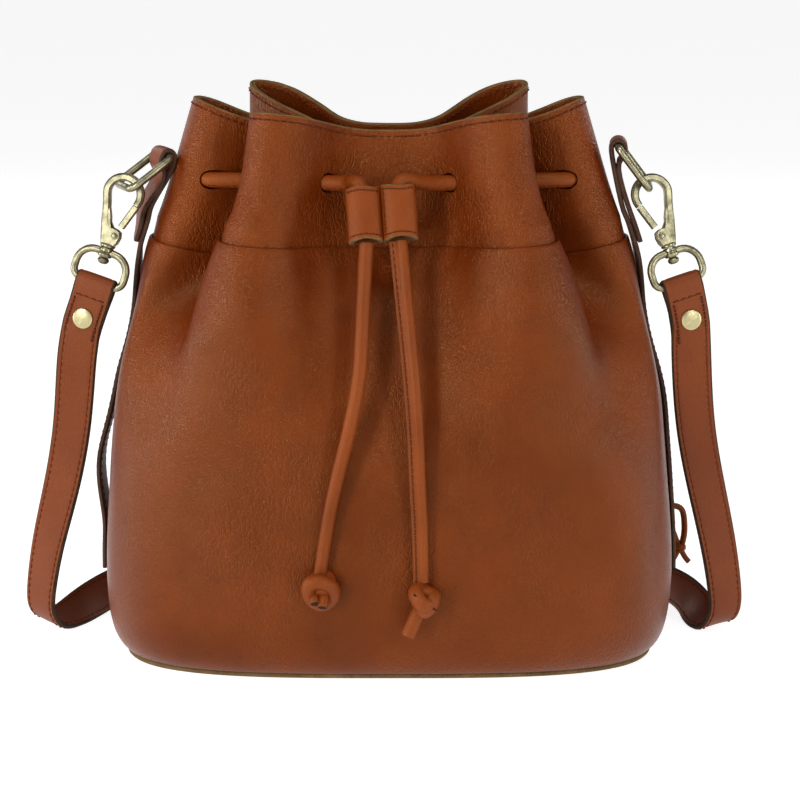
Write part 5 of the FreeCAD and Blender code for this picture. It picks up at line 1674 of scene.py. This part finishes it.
def cut_zip_slot(panel):
    """Cuts the zip's opening into the back panel."""
    cutter = Build()
    block(cutter, (-8, -5, -2.5), (8, 5, ZIP_LONG + 2), 0.1)
    shape = cutter.object("slot_cutter", [])
    cut(panel, shape)
    bpy.data.objects.remove(shape)


def make_pouch(looks):
    """The pocket's pouch, hanging between the back panel and the lining."""
    heights = np.linspace(height_share(54 * MM), height_share(148 * MM), 24)
    depth = np.full(len(heights), 9.3 * MM)
    piece = shell_piece("cloth_pouch", np.linspace(1.08, 1.36, 40), heights, depth, depth + 0.6 * MM,
                        [looks["lining"]], (0, 0, 0, 0))
    attach(piece, "root", "lining_cloth", "pocket_pouch")


def dress_kept_nodes(looks):
    """Materials for the CAD's own pieces that stay in the picture."""
    for name, look in (("base_board", "board"), ("gate_spring_left", "brass"), ("gate_spring_right", "brass")):
        NODES[name].data.materials.clear()
        NODES[name].data.materials.append(looks[look])


# ---------------------------------------------------------------- room
FLOOR_HALF = 16.0
# Each lamp's place, width and height in metres, and its power in watts. All of them aim at the bag's middle.
AIM = Vector((0, 0, 0.14))
LAMPS = {
    "key": ((-0.86, -1.12, 0.56), 0.26, 0.95, 12), "fill": ((0.80, -1.15, 0.58), 0.22, 0.9, 5.5),
    "left": ((-1.3, -0.15, 0.36), 0.22, 0.7, 7), "right": ((1.3, -0.3, 0.36), 0.20, 0.7, 4.5),
    "top": ((0.0, -0.6, 1.45), 1.0, 0.4, 7),
    "back_left": ((-1.0, 1.3, 0.9), 0.5, 0.8, 3.5), "back_right": ((1.0, 1.3, 0.9), 0.5, 0.8, 3.5),
}


def make_room():
    """The white floor, and a white world that is brightest at the horizon."""
    corners = [(x * FLOOR_HALF, y * FLOOR_HALF, 0) for x, y in ((-1, -1), (1, -1), (1, 1), (-1, 1))]
    mesh = bpy.data.meshes.new("floor")
    mesh.from_pydata(corners, [], [(0, 1, 2, 3)])
    mesh.materials.append(floor_material())
    floor = bpy.data.objects.new("floor", mesh)
    bpy.context.scene.collection.objects.link(floor)
    world = bpy.data.worlds.new("room")
    world.use_nodes = True
    tree = world.node_tree
    sky = add(tree, "SeparateXYZ", {"Vector": add(tree, "TexCoord").outputs["Generated"]})
    glow = spread(tree, sky.outputs["Z"], 0.0, 0.4, 0.55, 0.16)
    tree.links.new(glow, tree.nodes["Background"].inputs["Strength"])
    tree.nodes["Background"].inputs["Color"].default_value = (1, 1, 1, 1)
    bpy.context.scene.world = world


def make_lights():
    """Area lamps, aimed at the bag."""
    for name, (place, width, height, power) in LAMPS.items():
        data = bpy.data.lights.new(name, "AREA")
        data.shape = "RECTANGLE"
        data.size, data.size_y = width, height
        data.energy = power
        lamp = bpy.data.objects.new(name, data)
        lamp.location = place
        lamp.rotation_euler = (AIM - Vector(place)).to_track_quat("-Z", "Y").to_euler()
        bpy.context.scene.collection.objects.link(lamp)


def main():
    make_camera()
    bpy.context.scene.view_settings.view_transform = "Standard"
    looks = make_materials()
    for name in SIDES:
        make_tail(looks, name)
    make_lower_panels(looks)
    make_yokes(looks)
    make_rim_stitches(looks)
    make_drawstring(looks)
    make_toggle(looks)
    for name in SIDES:
        make_strap(looks, name)
        make_band(looks, name)
        make_clip(looks, name)
        make_ring(looks, name)
        make_rivet(looks, name)
    make_buckle(looks)
    make_keeper(looks)
    make_base(looks)
    make_lining(looks)
    make_zip(looks)
    make_zip_slider(looks)
    make_zip_pull(looks)
    make_pouch(looks)
    dress_kept_nodes(looks)
    make_room()
    make_lights()


main()
